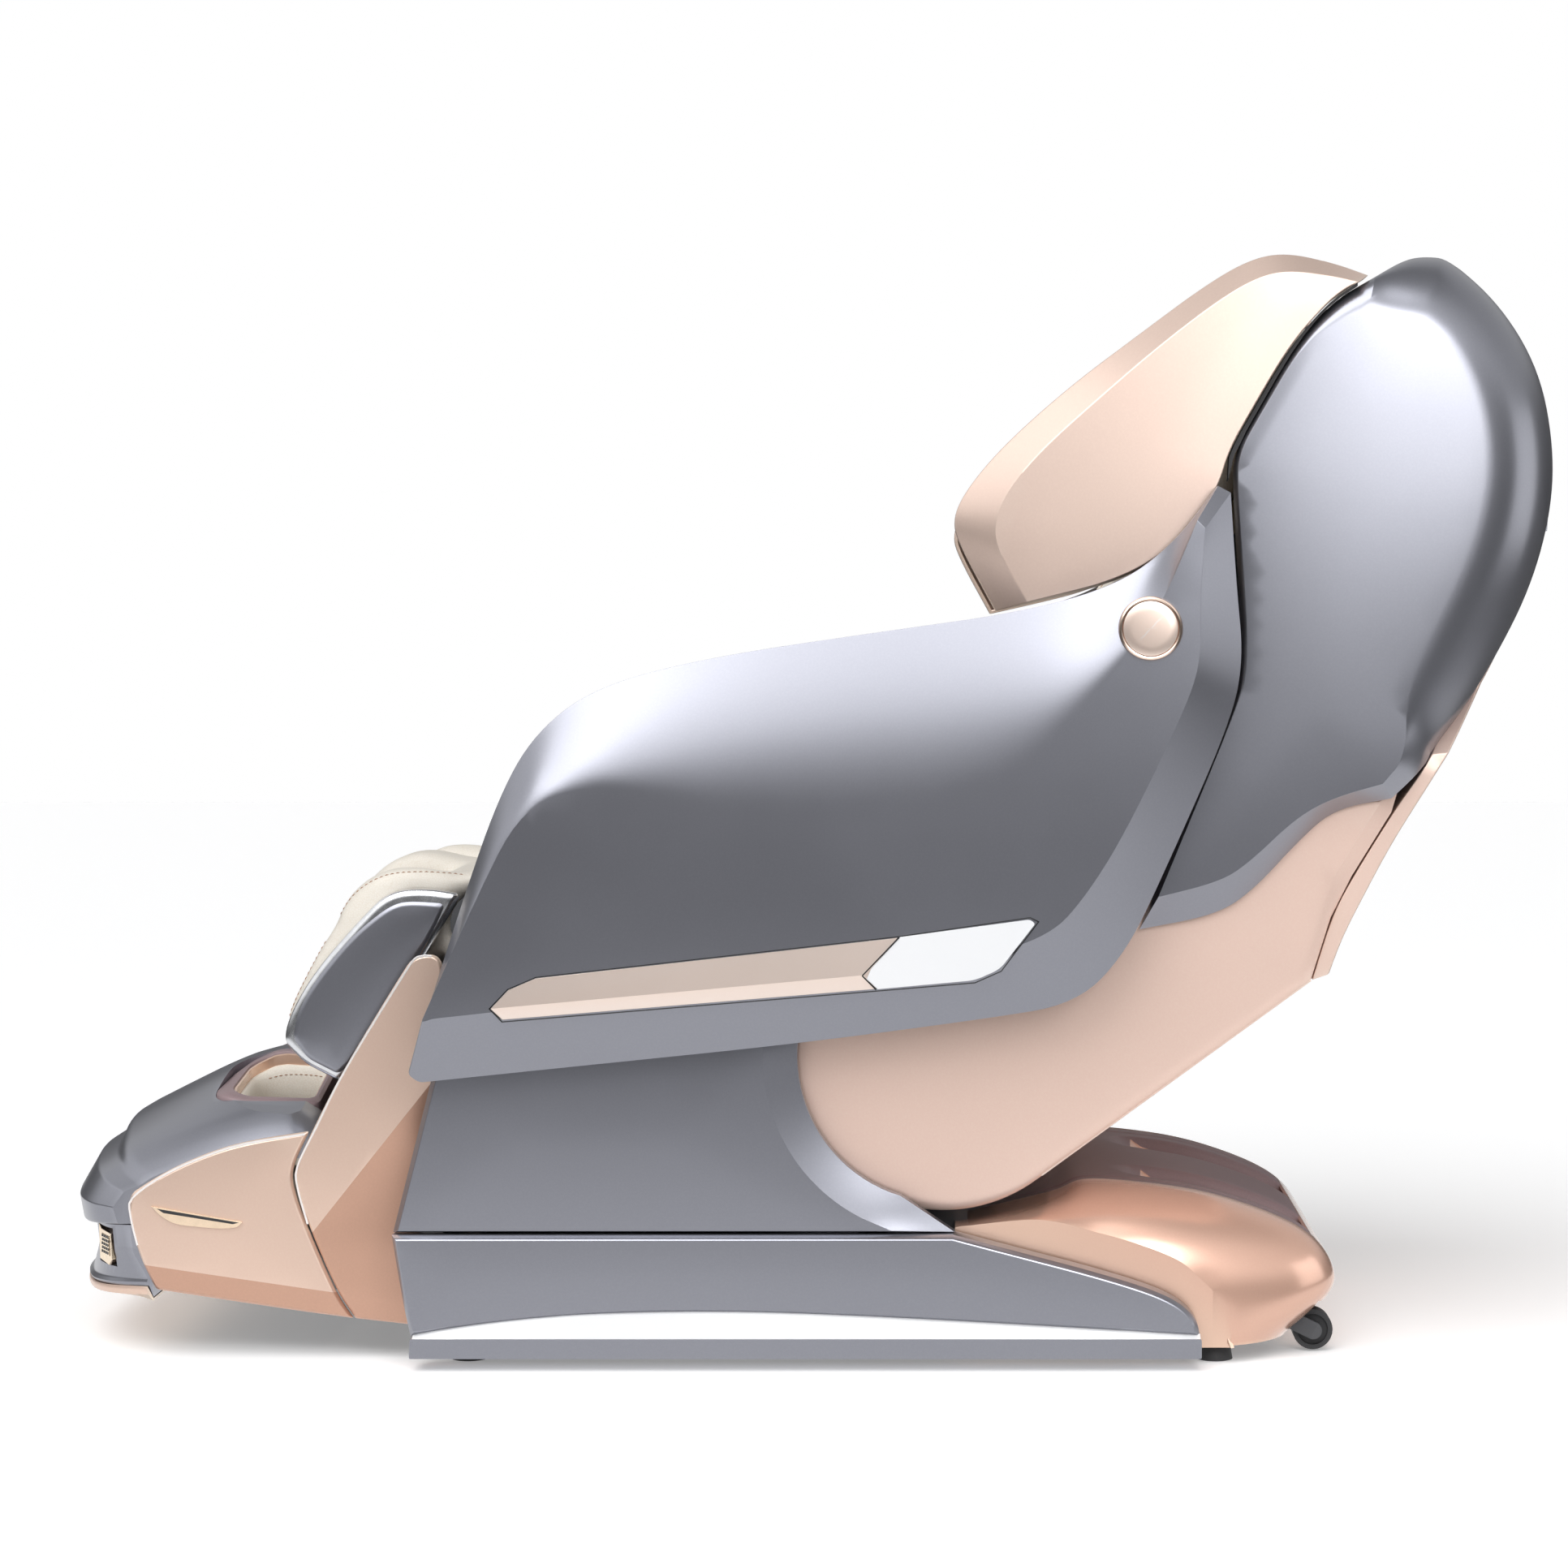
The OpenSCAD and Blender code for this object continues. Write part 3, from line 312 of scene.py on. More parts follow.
def moved(line, t):
    """Points of an open line moved sideways by t, to the left of its direction."""
    made = []
    for i, p in enumerate(line):
        a, b = line[max(i - 1, 0)], line[min(i + 1, len(line) - 1)]
        length = math.hypot(b[0] - a[0], b[1] - a[1])
        made.append([p[0] - (b[1] - a[1]) / length * t, p[1] + (b[0] - a[0]) / length * t])
    return made


def arc(c, r, a0, a1, n):
    return [[c[0] + r * math.cos(math.radians(a0 + (a1 - a0) * k / n)),
             c[1] + r * math.sin(math.radians(a0 + (a1 - a0) * k / n))] for k in range(n + 1)]


def catmull(a, b, c, d, t):
    """The Catmull-Rom curve between b and c."""
    return 0.5 * (2 * b + (c - a) * t + (2 * a - 5 * b + 4 * c - d) * t * t
                  + (3 * b - a - 3 * c + d) * t ** 3)


def smooth_line(points, step=8):
    """An open line through the points, rounded by Catmull-Rom and cut into short steps."""
    made = []
    for i in range(len(points) - 1):
        p0, p1, p2 = points[max(i - 1, 0)], points[i], points[i + 1]
        p3 = points[min(i + 2, len(points) - 1)]
        count = max(2, math.ceil(math.hypot(p2[0] - p1[0], p2[1] - p1[1]) / step))
        made += [[catmull(*values, k / count) for values in zip(p0, p1, p2, p3)]
                 for k in range(count)]
    return made + [list(points[-1])]


def inset(outline, distance):
    """An outline moved inward, with its corners' cuts kept."""
    rows = ccw([row[:3] for row in outline])
    return [[q[0] + q[2] * distance, q[1] + q[3] * distance, p[2]]
            for p, q in zip(rows, with_normals([p[:2] for p in rows]))]


MAIN_PIVOT = (148, 320)         # middle of the round cut-outs in the side covers
LEG_PIVOT = (-335, 450)
ARM_PIVOT = (357, 759)
BACK_FOOT = (95, 430)           # where the back's own frame starts
LEAN = math.radians(31.5)       # how far that frame leans to the rear
WALL = 4                        # thickness of moulded shells


def on_back(x, y, z):
    """A point in the back's own frame, as [x, y, z] in the chair's frame."""
    return [x, BACK_FOOT[0] + y * math.cos(LEAN) + z * math.sin(LEAN),
            BACK_FOOT[1] - y * math.sin(LEAN) + z * math.cos(LEAN)]


# ---------------------------------------------------------------- meshes, in millimetres
def joined(*parts):
    verts, faces = [], []
    for v, f in parts:
        start = len(verts)
        verts += [list(p) for p in v]
        faces += [[i + start for i in face] for face in f]
    return verts, faces


def mirrored(part):
    return [[-v[0], v[1], v[2]] for v in part[0]], [list(f)[::-1] for f in part[1]]


def both(part):
    return joined(part, mirrored(part))


def bands(rings, closed=True):
    """Quads between rings of equal length."""
    n = len(rings[0])
    verts = [p for ring in rings for p in ring]
    faces = []
    for k in range(len(rings) - 1):
        for i in range(n if closed else n - 1):
            j = (i + 1) % n
            faces.append([k * n + i, (k + 1) * n + i, (k + 1) * n + j, k * n + j])
    return verts, faces


def looped(rings):
    """A tube from rings that closes on itself."""
    return bands(rings + rings[:1])


def capped(rings, axis=0):
    """A closed body from rings, with flat ends."""
    return joined(bands(rings), fill(rings[0], axis=axis), fill(rings[-1], axis=axis))


def prism(line, low, high, axis=0):
    """A closed straight body with its outline across the axis, between two planes."""
    return capped([[[*p[:axis], level, *p[axis:2]] for p in line] for level in (low, high)], axis)


def fill(ring, spacing=0, bulge=0, reach=60, axis=0):
    """Triangles across a ring, seen along the axis, with inner points raised by a soft bulge."""
    a, b = [k for k in range(3) if k != axis]
    flat = np.array([(p[a], p[b]) for p in ring])
    inner = np.zeros((0, 2))
    if spacing:
        low, high = flat.min(0), flat.max(0)
        grid = np.array([(low[0] + (i + 0.5 * (j % 2)) * spacing, low[1] + j * spacing * 0.866)
                         for j in range(int((high[1] - low[1]) / spacing / 0.866) + 1)
                         for i in range(int((high[0] - low[0]) / spacing) + 1)])
        inside = np.zeros(len(grid), bool)
        near = distance_to(grid, flat)
        for p, q in zip(flat, np.roll(flat, -1, 0)):
            crosses = (p[1] > grid[:, 1]) != (q[1] > grid[:, 1])
            with np.errstate(divide="ignore", invalid="ignore"):
                at = p[0] + (grid[:, 1] - p[1]) / (q[1] - p[1]) * (q[0] - p[0])
            inside ^= crosses & (grid[:, 0] < at)
        inner = grid[inside & (near > spacing * 0.55)]
    points = np.vstack([flat, inner])
    verts, _, faces, origins, _, _ = delaunay_2d_cdt(
        [Vector(p) for p in points], [], [list(range(len(ring)))], 1, 1e-4)
    level = np.array([p[axis] for p in ring])
    made = []
    out = np.array([(v.x, v.y) for v in verts])
    depth = distance_to(out, flat)
    for v, origin, d in zip(out, origins, depth):
        known = [o for o in origin if o < len(ring)]
        if known:
            p = list(ring[known[0]])
        else:
            weight = 1 / (np.hypot(*(flat - v).T) ** 2 + 1e-6)
            p = [0, 0, 0]
            p[a], p[b] = v
            p[axis] = float((level * weight).sum() / weight.sum())
            p[axis] += bulge * (1 - math.exp(-d / reach))
        made.append(p)
    return made, [list(f) for f in faces]


def distance_to(points, loop):
    best = np.full(len(points), 1e9)
    for p, q in zip(loop, np.roll(loop, -1, 0)):
        d = q - p
        t = np.clip(((points - p) @ d) / max(d @ d, 1e-9), 0, 1)
        best = np.minimum(best, np.hypot(*(points - p - t[:, None] * d).T))
    return best


def mesh_from(name, part, weld=2e-5, mend=False):
    """A welded mesh in metres whose faces look outward, from millimetre geometry."""
    mesh = bpy.data.meshes.new(name)
    mesh.from_pydata([[c * MM for c in v] for v in part[0]], [], part[1])
    work = bmesh.new()
    work.from_mesh(mesh)
    bmesh.ops.remove_doubles(work, verts=work.verts, dist=weld)
    if mend:
        bmesh.ops.dissolve_degenerate(work, edges=work.edges, dist=weld)
    bmesh.ops.recalc_face_normals(work, faces=work.faces)
    work.to_mesh(mesh)
    work.free()
    return mesh


def shade(made, sharp=None):
    """Smooth shading, with edges sharp above an angle in degrees."""
    made.data.shade_smooth()
    if sharp is not None:
        made.data.set_sharp_from_angle(angle=math.radians(sharp))


def piece(name, part, material, body, nodes=(), sharp=30, bevel=0.0):
    """A finished object from millimetre geometry, riding on its body."""
    made = placed(name, mesh_from(name, part, mend=True))
    made.data.materials.append(material)
    shade(made, sharp)
    if bevel:
        edge = made.modifiers.new("edge", "BEVEL")
        edge.width = bevel * MM
        edge.segments = 2
        edge.limit_method = "ANGLE"
        edge.angle_limit = math.radians(34)
        edge.harden_normals = True
    settle(made, body, nodes)
    return made


def loose(name, part, material):
    """A plain object from millimetre geometry that isn't settled on a body yet."""
    made = placed(name, mesh_from(name, part))
    made.data.materials.append(material)
    return made


def settle(made, body, nodes=()):
    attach(made, body)
    if nodes:
        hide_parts(*nodes)


def panel(outline, x_out, drop, x_in=None, widen=1.0, rounds=0, default=8, steps=10,
          bulge=0.0, reach=70, wall=WALL, soft=True):
    """A moulded dish seen from +X, as a closed shell. outline: [y, z, cut, inner y, inner z,
    seam share]. rounds: 0 for a straight chamfer to 1 for a crowned edge, for all corners or for
    each. drop may be a function of the seam share. The face's middle bulges out."""
    rows = []
    for i, c in enumerate(outline):
        inner = [c[3], c[4]] if len(c) > 4 else [None, None]
        share = c[5] if len(c) > 5 else 0
        crowned = rounds[i] if isinstance(rounds, list) else rounds
        rows.append([*c[:3], *inner, share, crowned])
    rows = ccw(rows)
    normals = with_normals([[r[0], r[1]] for r in rows])
    for r, k in zip(rows, normals):
        if r[3] is None:
            r[3], r[4] = r[0] + k[2] * default, r[1] + k[3] * default
        elif r[6] > 0.5:
            r[3] = r[0] + (r[3] - r[0]) * widen
            r[4] = r[1] + (r[4] - r[1]) * widen
        r += [k[2], k[3]]
    rows = dense(rounded(rows))
    falls = [drop(r[5]) if callable(drop) else drop for r in rows]

    def ring(s, inset=0.0, lower=0.0):
        made = []
        for r, fall in zip(rows, falls):
            angle = s * math.pi / 2
            along = s if soft else s + (1 - math.cos(angle) - s) * r[6]
            rise = s + (math.sin(angle) - s) * r[6]
            made.append([x_out - fall * (1 - rise) - lower,
                         r[0] + (r[3] - r[0]) * along + r[7] * inset,
                         r[1] + (r[4] - r[1]) * along + r[8] * inset])
        return made

    outer = [ring(k / steps) for k in range(steps + 1)]
    parts = [bands(outer), fill(outer[-1], 16, bulge, reach)]
    edge = outer[0]
    inner = [ring(s, wall, wall) for s in (0, 0.33, 0.66, 1.0)]
    if x_in is not None:
        skirt, foot = ([[x_in, *p[1:]] for p in line] for line in (edge, inner[0]))
        parts += [bands([skirt, edge]), bands([skirt, foot] + inner)]
    else:
        parts.append(bands([edge] + inner))
    return joined(*parts, fill(inner[-1]))


def slab(outline, x0, x1, n=7):
    """A plate with its outline in (y, z), between two planes across the chair."""
    line = ccw(outline)
    return prism(rounded(line, n) if len(line[0]) > 2 else line, x0, x1)


def lathe(profile, centre, n=64):
    """A shape turned round an axis along X through centre = (y, z); profile of (x, radius)."""
    return capped([[[x, centre[0] + r * math.cos(2 * math.pi * k / n),
                     centre[1] + r * math.sin(2 * math.pi * k / n)] for k in range(n)]
                   for x, r in profile])


def ribbon(path, half, thick, x):
    """A thin strip that follows a (y, z) path, raised from the plane x."""
    left, right = moved(path, half), moved(path, -half)
    rings = []
    for p, q in zip(left, right):
        rings.append([[x, *p], [x + thick, *lerp(p, q, 0.2)], [x + thick, *lerp(p, q, 0.8)],
                      [x, *q]])
    verts, faces = bands(rings)
    last = len(rings) - 1
    return verts, faces + [[0, 1, 2, 3], [last * 4 + k for k in (3, 2, 1, 0)]]


def fold(made, a, b, depth):
    """Bends a pair of panels inward along the line from a to b, [y, z]. depth(d, y, z) is the
    shift toward the chair's middle at a distance d to the line's right."""
    along = Vector((b[0] - a[0], b[1] - a[1])).normalized()
    normal = Vector((along.y, -along.x))
    work = bmesh.new()
    work.from_mesh(made.data)
    bmesh.ops.bisect_plane(work, geom=work.verts[:] + work.edges[:] + work.faces[:],
                           plane_co=(0, a[0] * MM, a[1] * MM),
                           plane_no=(0, normal.x, normal.y), dist=1e-6)
    for v in work.verts:
        y, z = v.co.y / MM, v.co.z / MM
        d = (y - a[0]) * normal.x + (z - a[1]) * normal.y
        if d > 0:
            v.co.x -= math.copysign(depth(d, y, z) * MM, v.co.x)
    work.to_mesh(made.data)
    work.free()


def paint_shade_past_fold(made, lines, material):
    """Gives the faces to the right of every line, [y, z] to [y, z], a second paint: a darker
    rose that is painted shade past the fold.
    """
    made.data.materials.append(material)
    for face in made.data.polygons:
        y, z = face.center.y / MM, face.center.z / MM
        if any((y - a[0]) * (b[1] - a[1]) > (z - a[1]) * (b[0] - a[0]) for a, b in lines):
            face.material_index = 1


def highlight_strip(name, path, body):
    """A bright strip along an outline's edge, on both sides of the chair: a painted highlight
    on the rounded edge.
    """
    piece(name, both(ribbon(smooth_line(path), 1.3, 1.0, 267.3)), edge_glint, body, sharp=60)


# ---------------------------------------------------------------- arm pods
ARM = [[-396, 306, 6, -378, 362], [-343, 474, S, -332, 478],
       [-303, 590, S, -285, 585], [-266, 654, S, -225, 620], [-205, 700, S, -165, 630],
       [-90, 730, S, -70, 628], [79, 755, S, 82, 636], [230, 776, S, 215, 660],
       [328, 804, S, 300, 720], [385, 848, S, 372, 800], [427, 904, 0, 404, 868],
       [440, 897, 0, 412, 860], [446, 800, S, 407, 790], [453, 728, S, 408, 728],
       [440, 664, S, 392, 678], [374, 515, S, 330, 550], [334, 430, S, 290, 487],
       [284, 378, S, 256, 450], [193, 363, S, 186, 428], [-4, 337, S, -10, 402],
       [-200, 317, S, -200, 384], [-384, 298, 5, -366, 366]]
ARM_ROUNDS = [0, 0.6, 0.8, 1, 1, 1, 1, 1, 1, 0.8, 0, 0, 0, 0, 0, 0, 0, 0, 0, 0, 0, 0]
INLAY = [[-308, 376], [-290, 395], [-262, 407], [103, 448], [80, 396], [-296, 365]]
ACCENT = [[68, 409, 0], [105, 448.5, 0], [235, 466, 3], [241, 462, 3], [205, 416, 8],
          [180, 405, 8], [82, 396, 0]]


def arm_parts():
    pod = panel(ARM, 385, 30, 331, widen=1.55, rounds=ARM_ROUNDS, steps=14, bulge=1.2,
                reach=50)
    low, top = ([[x, *p] for p in INLAY] for x in (380, 385.6))
    ridge = [[388, -300, 377], [388, 66, 410]]
    inlay = joined(([*top[:4], ridge[1], ridge[0]], [[0, 1, 2, 3, 4, 5]]),
                   ([top[0], *ridge, *top[4:]], [[0, 1, 2, 3, 4]]),
                   bands([low, top]), ([top[3], top[4], ridge[1]], [[0, 1, 2]]), fill(low))
    accent_line = rounded(ccw(ACCENT), 4)
    ring, back = ([[x, *p[:2]] for p in accent_line] for x in (387.2, 380))
    accent = joined(bands([back, ring]), fill(ring), fill(back))
    loop = INLAY[:3] + [[103, 448], [235.5, 467.2], [243, 463.5], [206, 414.5], [180, 403],
                        [80, 394.6], [-296, 363.6]]
    seam = looped([[[x, p[0] - p[2] * t, p[1] - p[3] * t]
                    for p in with_normals(dense(ccw(loop), 20))]
                   for x, t in ((383, 1.3), (385.9, 1.3), (386.1, 0.2), (383, 0.2))])
    splits = [ribbon([[66.5, 409.5], end], 1.0, 2.6, 385.4) for end in ([103.5, 448],
                                                                        [80.5, 395.5])]
    return pod, inlay, accent, joined(seam, *splits)


CAP_RIM = [(384.5, 32.6), (386.6, 32.4), (388.2, 31.4), (388.7, 30.0), (388.3, 28.6),
           (387.0, 28.2), (386.0, 28.0)]
CAP_FACE = [(385.8, 28.0), (387.6, 27.6), (388.0, 26.8), (388.5, 18), (388.7, 9), (388.8, 0.5)]

pod, inlay, accent, seams = arm_parts()
rim, face = lathe(CAP_RIM, ARM_PIVOT, 72), lathe(CAP_FACE, ARM_PIVOT, 72)
SIDES = (("left", lambda part: part), ("right", mirrored))
SIGNS = ((1, "left"), (-1, "right"))
for side, turned in SIDES:
    body = "arm_" + side
    piece("pod_" + side, turned(pod), grey_paint, body, ["arm_panel_" + side], 13, 1.4)
    piece("inlay_" + side, turned(inlay), rose_metal, body, ["arm_inlay_" + side], 8, 0.5)
    piece("accent_" + side, turned(accent), white_gloss, body, bevel=0.6)
    piece("inlay_seam_" + side, turned(seams), black_gloss, body)
    piece("cap_rim_" + side, turned(rim), rose_polish, body)
    piece("cap_" + side, turned(face), rose_metal, body, ["pivot_cap_" + side])

# ---------------------------------------------------------------- wings and back shells
WING = [[202, 777, 0, 234, 786], [164, 846, S, 204, 838], [157, 873, S, 200, 866],
        [174, 906, S, 212, 898], [214, 952, S, 246, 940], [281, 1011, S, 306, 994],
        [348, 1061, S, 366, 1046], [415, 1111, S, 424, 1091], [462, 1139, S, 466, 1117],
        [500, 1147, S, 500, 1126], [550, 1136, S, 548, 1120], [586, 1123, 0, 574, 1114],
        [564, 1109, S, 560, 1108], [543, 1094, S, 540, 1092], [505, 1051, S, 503, 1050],
        [464, 981, S, 463, 982], [441, 940, S, 440, 941], [430, 900, S, 429, 902],
        [398, 856, S, 397, 858], [360, 824, S, 359, 826], [315, 804, S, 314, 806],
        [264, 791, S, 266, 794]]
SHELL = [[592, 1121, 0, 584, 1090, 1], [550, 1097, S, 552, 1078, 1],
         [512, 1054, S, 515, 1050, 1], [471, 983, S, 474, 981, 1], [447, 940, S, 450, 938, 1],
         [446, 900, S, 449, 900, 1], [457, 720, S, 462, 722, 1], [440, 660, S, 446, 672, 1],
         [350, 449, 0, 368, 484, 1], [430, 464, S, 432, 500, 1], [468, 490, S, 462, 520, 1],
         [512, 538, S, 510, 566, 1], [550, 573, S, 548, 586, 1], [610, 584, 0, 598, 600, 1],
         [642, 614, S, 622, 628, 1], [682, 655, S, 634, 690, 0], [725, 722, S, 664, 752, 0],
         [765, 800, S, 696, 818, 0], [787, 880, S, 716, 884, 0], [790, 950, S, 720, 944, 0],
         [775, 1030, S, 708, 1006, 0], [735, 1098, S, 682, 1056, 0],
         [680, 1148, S, 650, 1082, 0], [655, 1151, S, 630, 1088, 0],
         [630, 1145, S, 606, 1090, .3]]
SHELL_ROUNDS = [1, 1, 1, 1, 1, 1, 1, 1, 0, 0, 0, 0, 0, 0, 0.3, 1, 1, 1, 1, 1, 1, 1, 1, 1, 1]
wing = panel(WING, 325, 25, 258, steps=8, bulge=2.5, reach=45)
piece("wing_shells", both(wing), rose_wing, "back", ["wings"], 11, 1.2)
shell = panel(SHELL, 325, lambda share: 113 - 88 * share, None, widen=1.25,
              rounds=SHELL_ROUNDS, steps=16, bulge=2.0, reach=60, soft=False)
piece("back_side_shells", both(shell), grey_paint, "back", ["back_shells"], 16, 1.2)

HOOD_LINE = [[598, 1127], [630, 1145], [655, 1151], [680, 1146], [705, 1128], [740, 1089],
             [766, 1046], [781, 1002], [787, 959], [788, 916], [785, 862]]
REAR_HALF = 211.5           # half width of the cap and the rear cover between the side shells
hood_line = smooth_line(HOOD_LINE, 7)
hood_rings = []
for x in np.linspace(-REAR_HALF, REAR_HALF, 9):
    outside = moved(hood_line, 3.0 * (1 - (x / REAR_HALF) ** 2))
    hood_rings.append([[x, *p] for p in outside + moved(hood_line, -WALL)[::-1]])
piece("back_cap", capped(hood_rings), grey_paint, "back", ["back_hood"], 35, 0.8)

REAR_LINE = [[782, 861], [774, 817], [757, 774], [731, 717], [697, 657], [662, 601],
             [619, 532], [584, 467], [567, 432], [554, 398]]
REAR_INNER = [[530, 395], [551, 459], [573, 502], [616, 571], [648, 618], [680, 675],
              [715, 735], [745, 790], [764, 861]]


def rear_half(z):
    """Half width of the rear cover, which spreads out under the side shells' lower ends."""
    return REAR_HALF + 70 * clamp((700 - z) / 75)


def rear_panel():
    line = smooth_line(REAR_LINE, 10)
    inner = [[p, rear_half(p[1])] for p in smooth_line(REAR_INNER, 14)]
    tucked = moved(line, -8)
    spans = list(np.linspace(0, 1, 15))
    rings = []
    for sign, ways in ((-1, spans[::-1]), (1, spans[1:])):
        for t in ways:
            edge = max(0.0, (t - 0.68) / 0.32) ** 2
            rows = [[lerp(p, q, edge), rear_half(p[1])] for p, q in zip(line, tucked)]
            rings.append([[sign * t * half, *p] for p, half in rows + inner])
    return capped(rings)


piece("rear_cover", rear_panel(), rose_pale, "back", ["rear_panel"], 35, 1.2)

# lower back shell: two side plates with a soft rolled edge, and the underside between them
belly = arc(MAIN_PIVOT, 163, 180, 306.8, 40)
TUB_TOP = [[528, 394], [549, 460], [571, 503], [612, 569], [620, 596], [560, 596], [500, 560],
           [440, 500], [340, 470], [240, 420], [-13, 420]]
tub_line = [[p[0], p[1], 0] for p in belly + TUB_TOP]
tub_rounds = [1] * (len(belly) + 2) + [0] * (len(TUB_TOP) - 2)
tub_side = panel(tub_line, 292, 9, 266, rounds=tub_rounds, default=16, steps=7, bulge=1.5,
                 reach=60, wall=6, soft=False)
under = [lerp([250, 192.6], [529, 394.6], t) for t in np.linspace(0, 1, 12)]
under_top = [[p[0] - 4, p[1] + 4.5] for p in under[::-1]]
underside = capped([[[x, *p] for p in under + under_top] for x in np.linspace(-287, 287, 15)])
piece("tub", joined(both(tub_side), underside), rose_pale, "back", ["lower_back_shell"], 20,
      1.5)

# ---------------------------------------------------------------- base covers
COVER = [[-378, 295, 0, -372, 296], [-374, 340, 0, -369, 335], [-1, 340, 0, -38, 335]]
COVER += [[*arc(MAIN_PIVOT, 150, a, a, 1)[0], 0,
           *arc(MAIN_PIVOT, 185, a * .86 + 25.5, a * .86 + 25.5, 1)[0]]
          for a in np.arange(177, 257, 4)]
COVER += [[160, 139.3, 0, 96, 141.5], [-417, 139.3, 0, -411, 141.5]]
cover = panel(COVER, 322, 9, 296, steps=4, bulge=1.5, reach=90)
piece("upper_side_covers", both(cover), grey_paint, "base", ["side_covers"], 10, 1.2)

SKIRT = [[-417, 138, 0], [-412, 107, S], [-404, 62, S], [-398, 36, 4], [-397, 34, 0],
         [-352, 42, S], [-236, 55, S], [-103, 59, S], [63, 54, S], [262, 43, S], [411, 34, 0],
         [407, 54, S], [380, 76, S], [312, 98, S], [212, 124, S], [158, 138.3, 0]]
skirt = panel(SKIRT, 330, 7, 296, default=5, steps=4, bulge=1.5, reach=60,
              rounds=[1, 1, 1, 0, 0, 0, 0, 0, 0, 0, 0, 1, 1, 1, 1, 1])
piece("side_skirts", both(skirt), grey_paint, "base", ["skirts"], 14, 1.0)
SLIVER = [[-395, 34], [-352, 42], [-302, 49], [-236, 55], [-186, 57], [-103, 58.5], [-20, 57.5],
          [63, 54], [158, 49], [262, 43], [411, 34]]
top = smooth_line(SLIVER, 15)
rings = []
for p in top:
    rings.append([[324, p[0], p[1] + 3], [330, p[0], p[1]], [333.6, p[0], 33.2],
                  [324, p[0], 32.6]])
sliver = joined(bands(rings), ([*rings[0]], [[0, 1, 2, 3]]), ([*rings[-1]], [[3, 2, 1, 0]]))
piece("skirt_accents", both(sliver), white_gloss, "base")
rail = slab([[-398, 13, 2], [-397, 33, 2], [412, 33, 2], [412, 13, 2]], 296, 334, 4)
piece("skirt_rails", both(rail), grey_paint, "base", bevel=1.5)

# ---------------------------------------------------------------- leg rest and foot unit
LINK = [[-526, 200, S], [-506, 242, S], [-476, 301, S], [-417, 398, S], [-402, 420, S],
        [-372, 420, 20], [-376, 330, S], [-398, 139, S], [-392, 33, 4], [-464, 41, 2],
        [-481, 66, S], [-510, 132, S], [-526, 178, S]]
link = panel(LINK, 268, 3, 264, default=3, steps=3, bulge=2.0, reach=60,
             rounds=1, wall=2)
link = piece("link_shells", both(link), rose_paint, "legrest", ["link_covers"], 12)
SIDE_FOLD, FOOT_FOLD = ((-463, 188), (-386, 285)), ((-686, 98), (-417, 59))
fold(link, *SIDE_FOLD,
     lambda d, y, z: 0.24 * min(d, 12 + 0.4 * d) * clamp((z - 120) / 130))
fold(link, *FOOT_FOLD, lambda d, y, z: 0.14 * d)
# The faces past both folds take the darker rose as painted shade.
paint_shade_past_fold(link, [SIDE_FOLD, FOOT_FOLD], rose_painted_shade)
link.data.set_sharp_from_angle(angle=math.radians(9))
# Pale strips along the link's rounded edges: a painted highlight.
highlight_strip("link_edge_highlights", [[-513, 140], [-523.5, 178], [-523.5, 200], [-503.7, 241],
                          [-473.8, 300], [-415, 396], [-399, 417.4], [-384, 418]], "legrest")

RIM = [[-544, 325, 10], [-540, 350, S], [-514, 397, S], [-463, 456, S], [-434, 484, S],
       [-395, 487, S], [-358, 481, 8], [-380, 442, S], [-466, 300, S], [-486, 284, 6],
       [-522, 303, 10]]
GREY_FACE = [[-535, 330, 8], [-531, 354, S], [-518, 380, S], [-497, 409, S], [-471, 439, S],
             [-446, 460, S], [-429, 471, S], [-412, 475, S], [-372, 472, 8], [-386, 440, S],
             [-468, 306, S], [-486, 291, 6], [-519, 308, 8]]
rim = panel(RIM, 238, 7, 229, default=8, steps=6, rounds=1, soft=False, wall=2)
piece("calf_rims", both(rim), silver, "legrest", ["calf_sides"], 30)
face = panel(GREY_FACE, 240, 3, 236, default=6, steps=4, rounds=1, bulge=3,
             reach=50, wall=1)
piece("calf_faces", both(face), grey_paint, "legrest")

FOOT_SIDE = [[-698, 171, 8], [-662, 194, S], [-620, 213, S], [-578, 226, S], [-512, 236, 3],
             [-529, 200, S], [-529, 178, S], [-512, 132, S], [-483, 66, S], [-466.5, 41, 2],
             [-520, 48, S], [-600, 60, S], [-672, 71, 4], [-690, 110, S], [-700, 150, S]]
foot_side = panel(FOOT_SIDE, 268, 4, 262.3, default=4, steps=3, bulge=2.0, reach=50,
                  rounds=1, wall=2)
foot_side = piece("foot_side_shells", both(foot_side), rose_paint, "foot_unit",
                  ["foot_sides"], 12)
fold(foot_side, *FOOT_FOLD, lambda d, y, z: 0.14 * d)
# The faces past the fold take the darker rose as painted shade.
paint_shade_past_fold(foot_side, [FOOT_FOLD], rose_painted_shade)
foot_side.data.set_sharp_from_angle(angle=math.radians(9))
# Pale strips along the foot sides' rounded upper edges: a painted highlight.
highlight_strip("foot_side_edge_highlights", [[-690, 118], [-697.4, 150], [-695, 167], [-661, 191.4],
                               [-619, 210.4], [-577, 223.4], [-516, 233.2]], "foot_unit")
SLIT = [[-675, 159, 0], [-580, 142.5, 1], [-586, 137, 3], [-604, 135.5, 9], [-650, 140, 12],
        [-664, 148, 5]]
SLIT_SHADOW = [[-669, 156.5, 0], [-584, 142, 0], [-590, 140.5, 0], [-662, 152, 0]]
piece("side_vents", both(slab(SLIT, 266, 271.4, 4)), gold_chrome, "foot_unit", bevel=0.5)
# A black plate inside each vent slit, where the slit's shade falls: painted shadow.
piece("side_vent_slot_shadows", both(slab(SLIT_SHADOW, 267, 271.8)), black_gloss, "foot_unit")

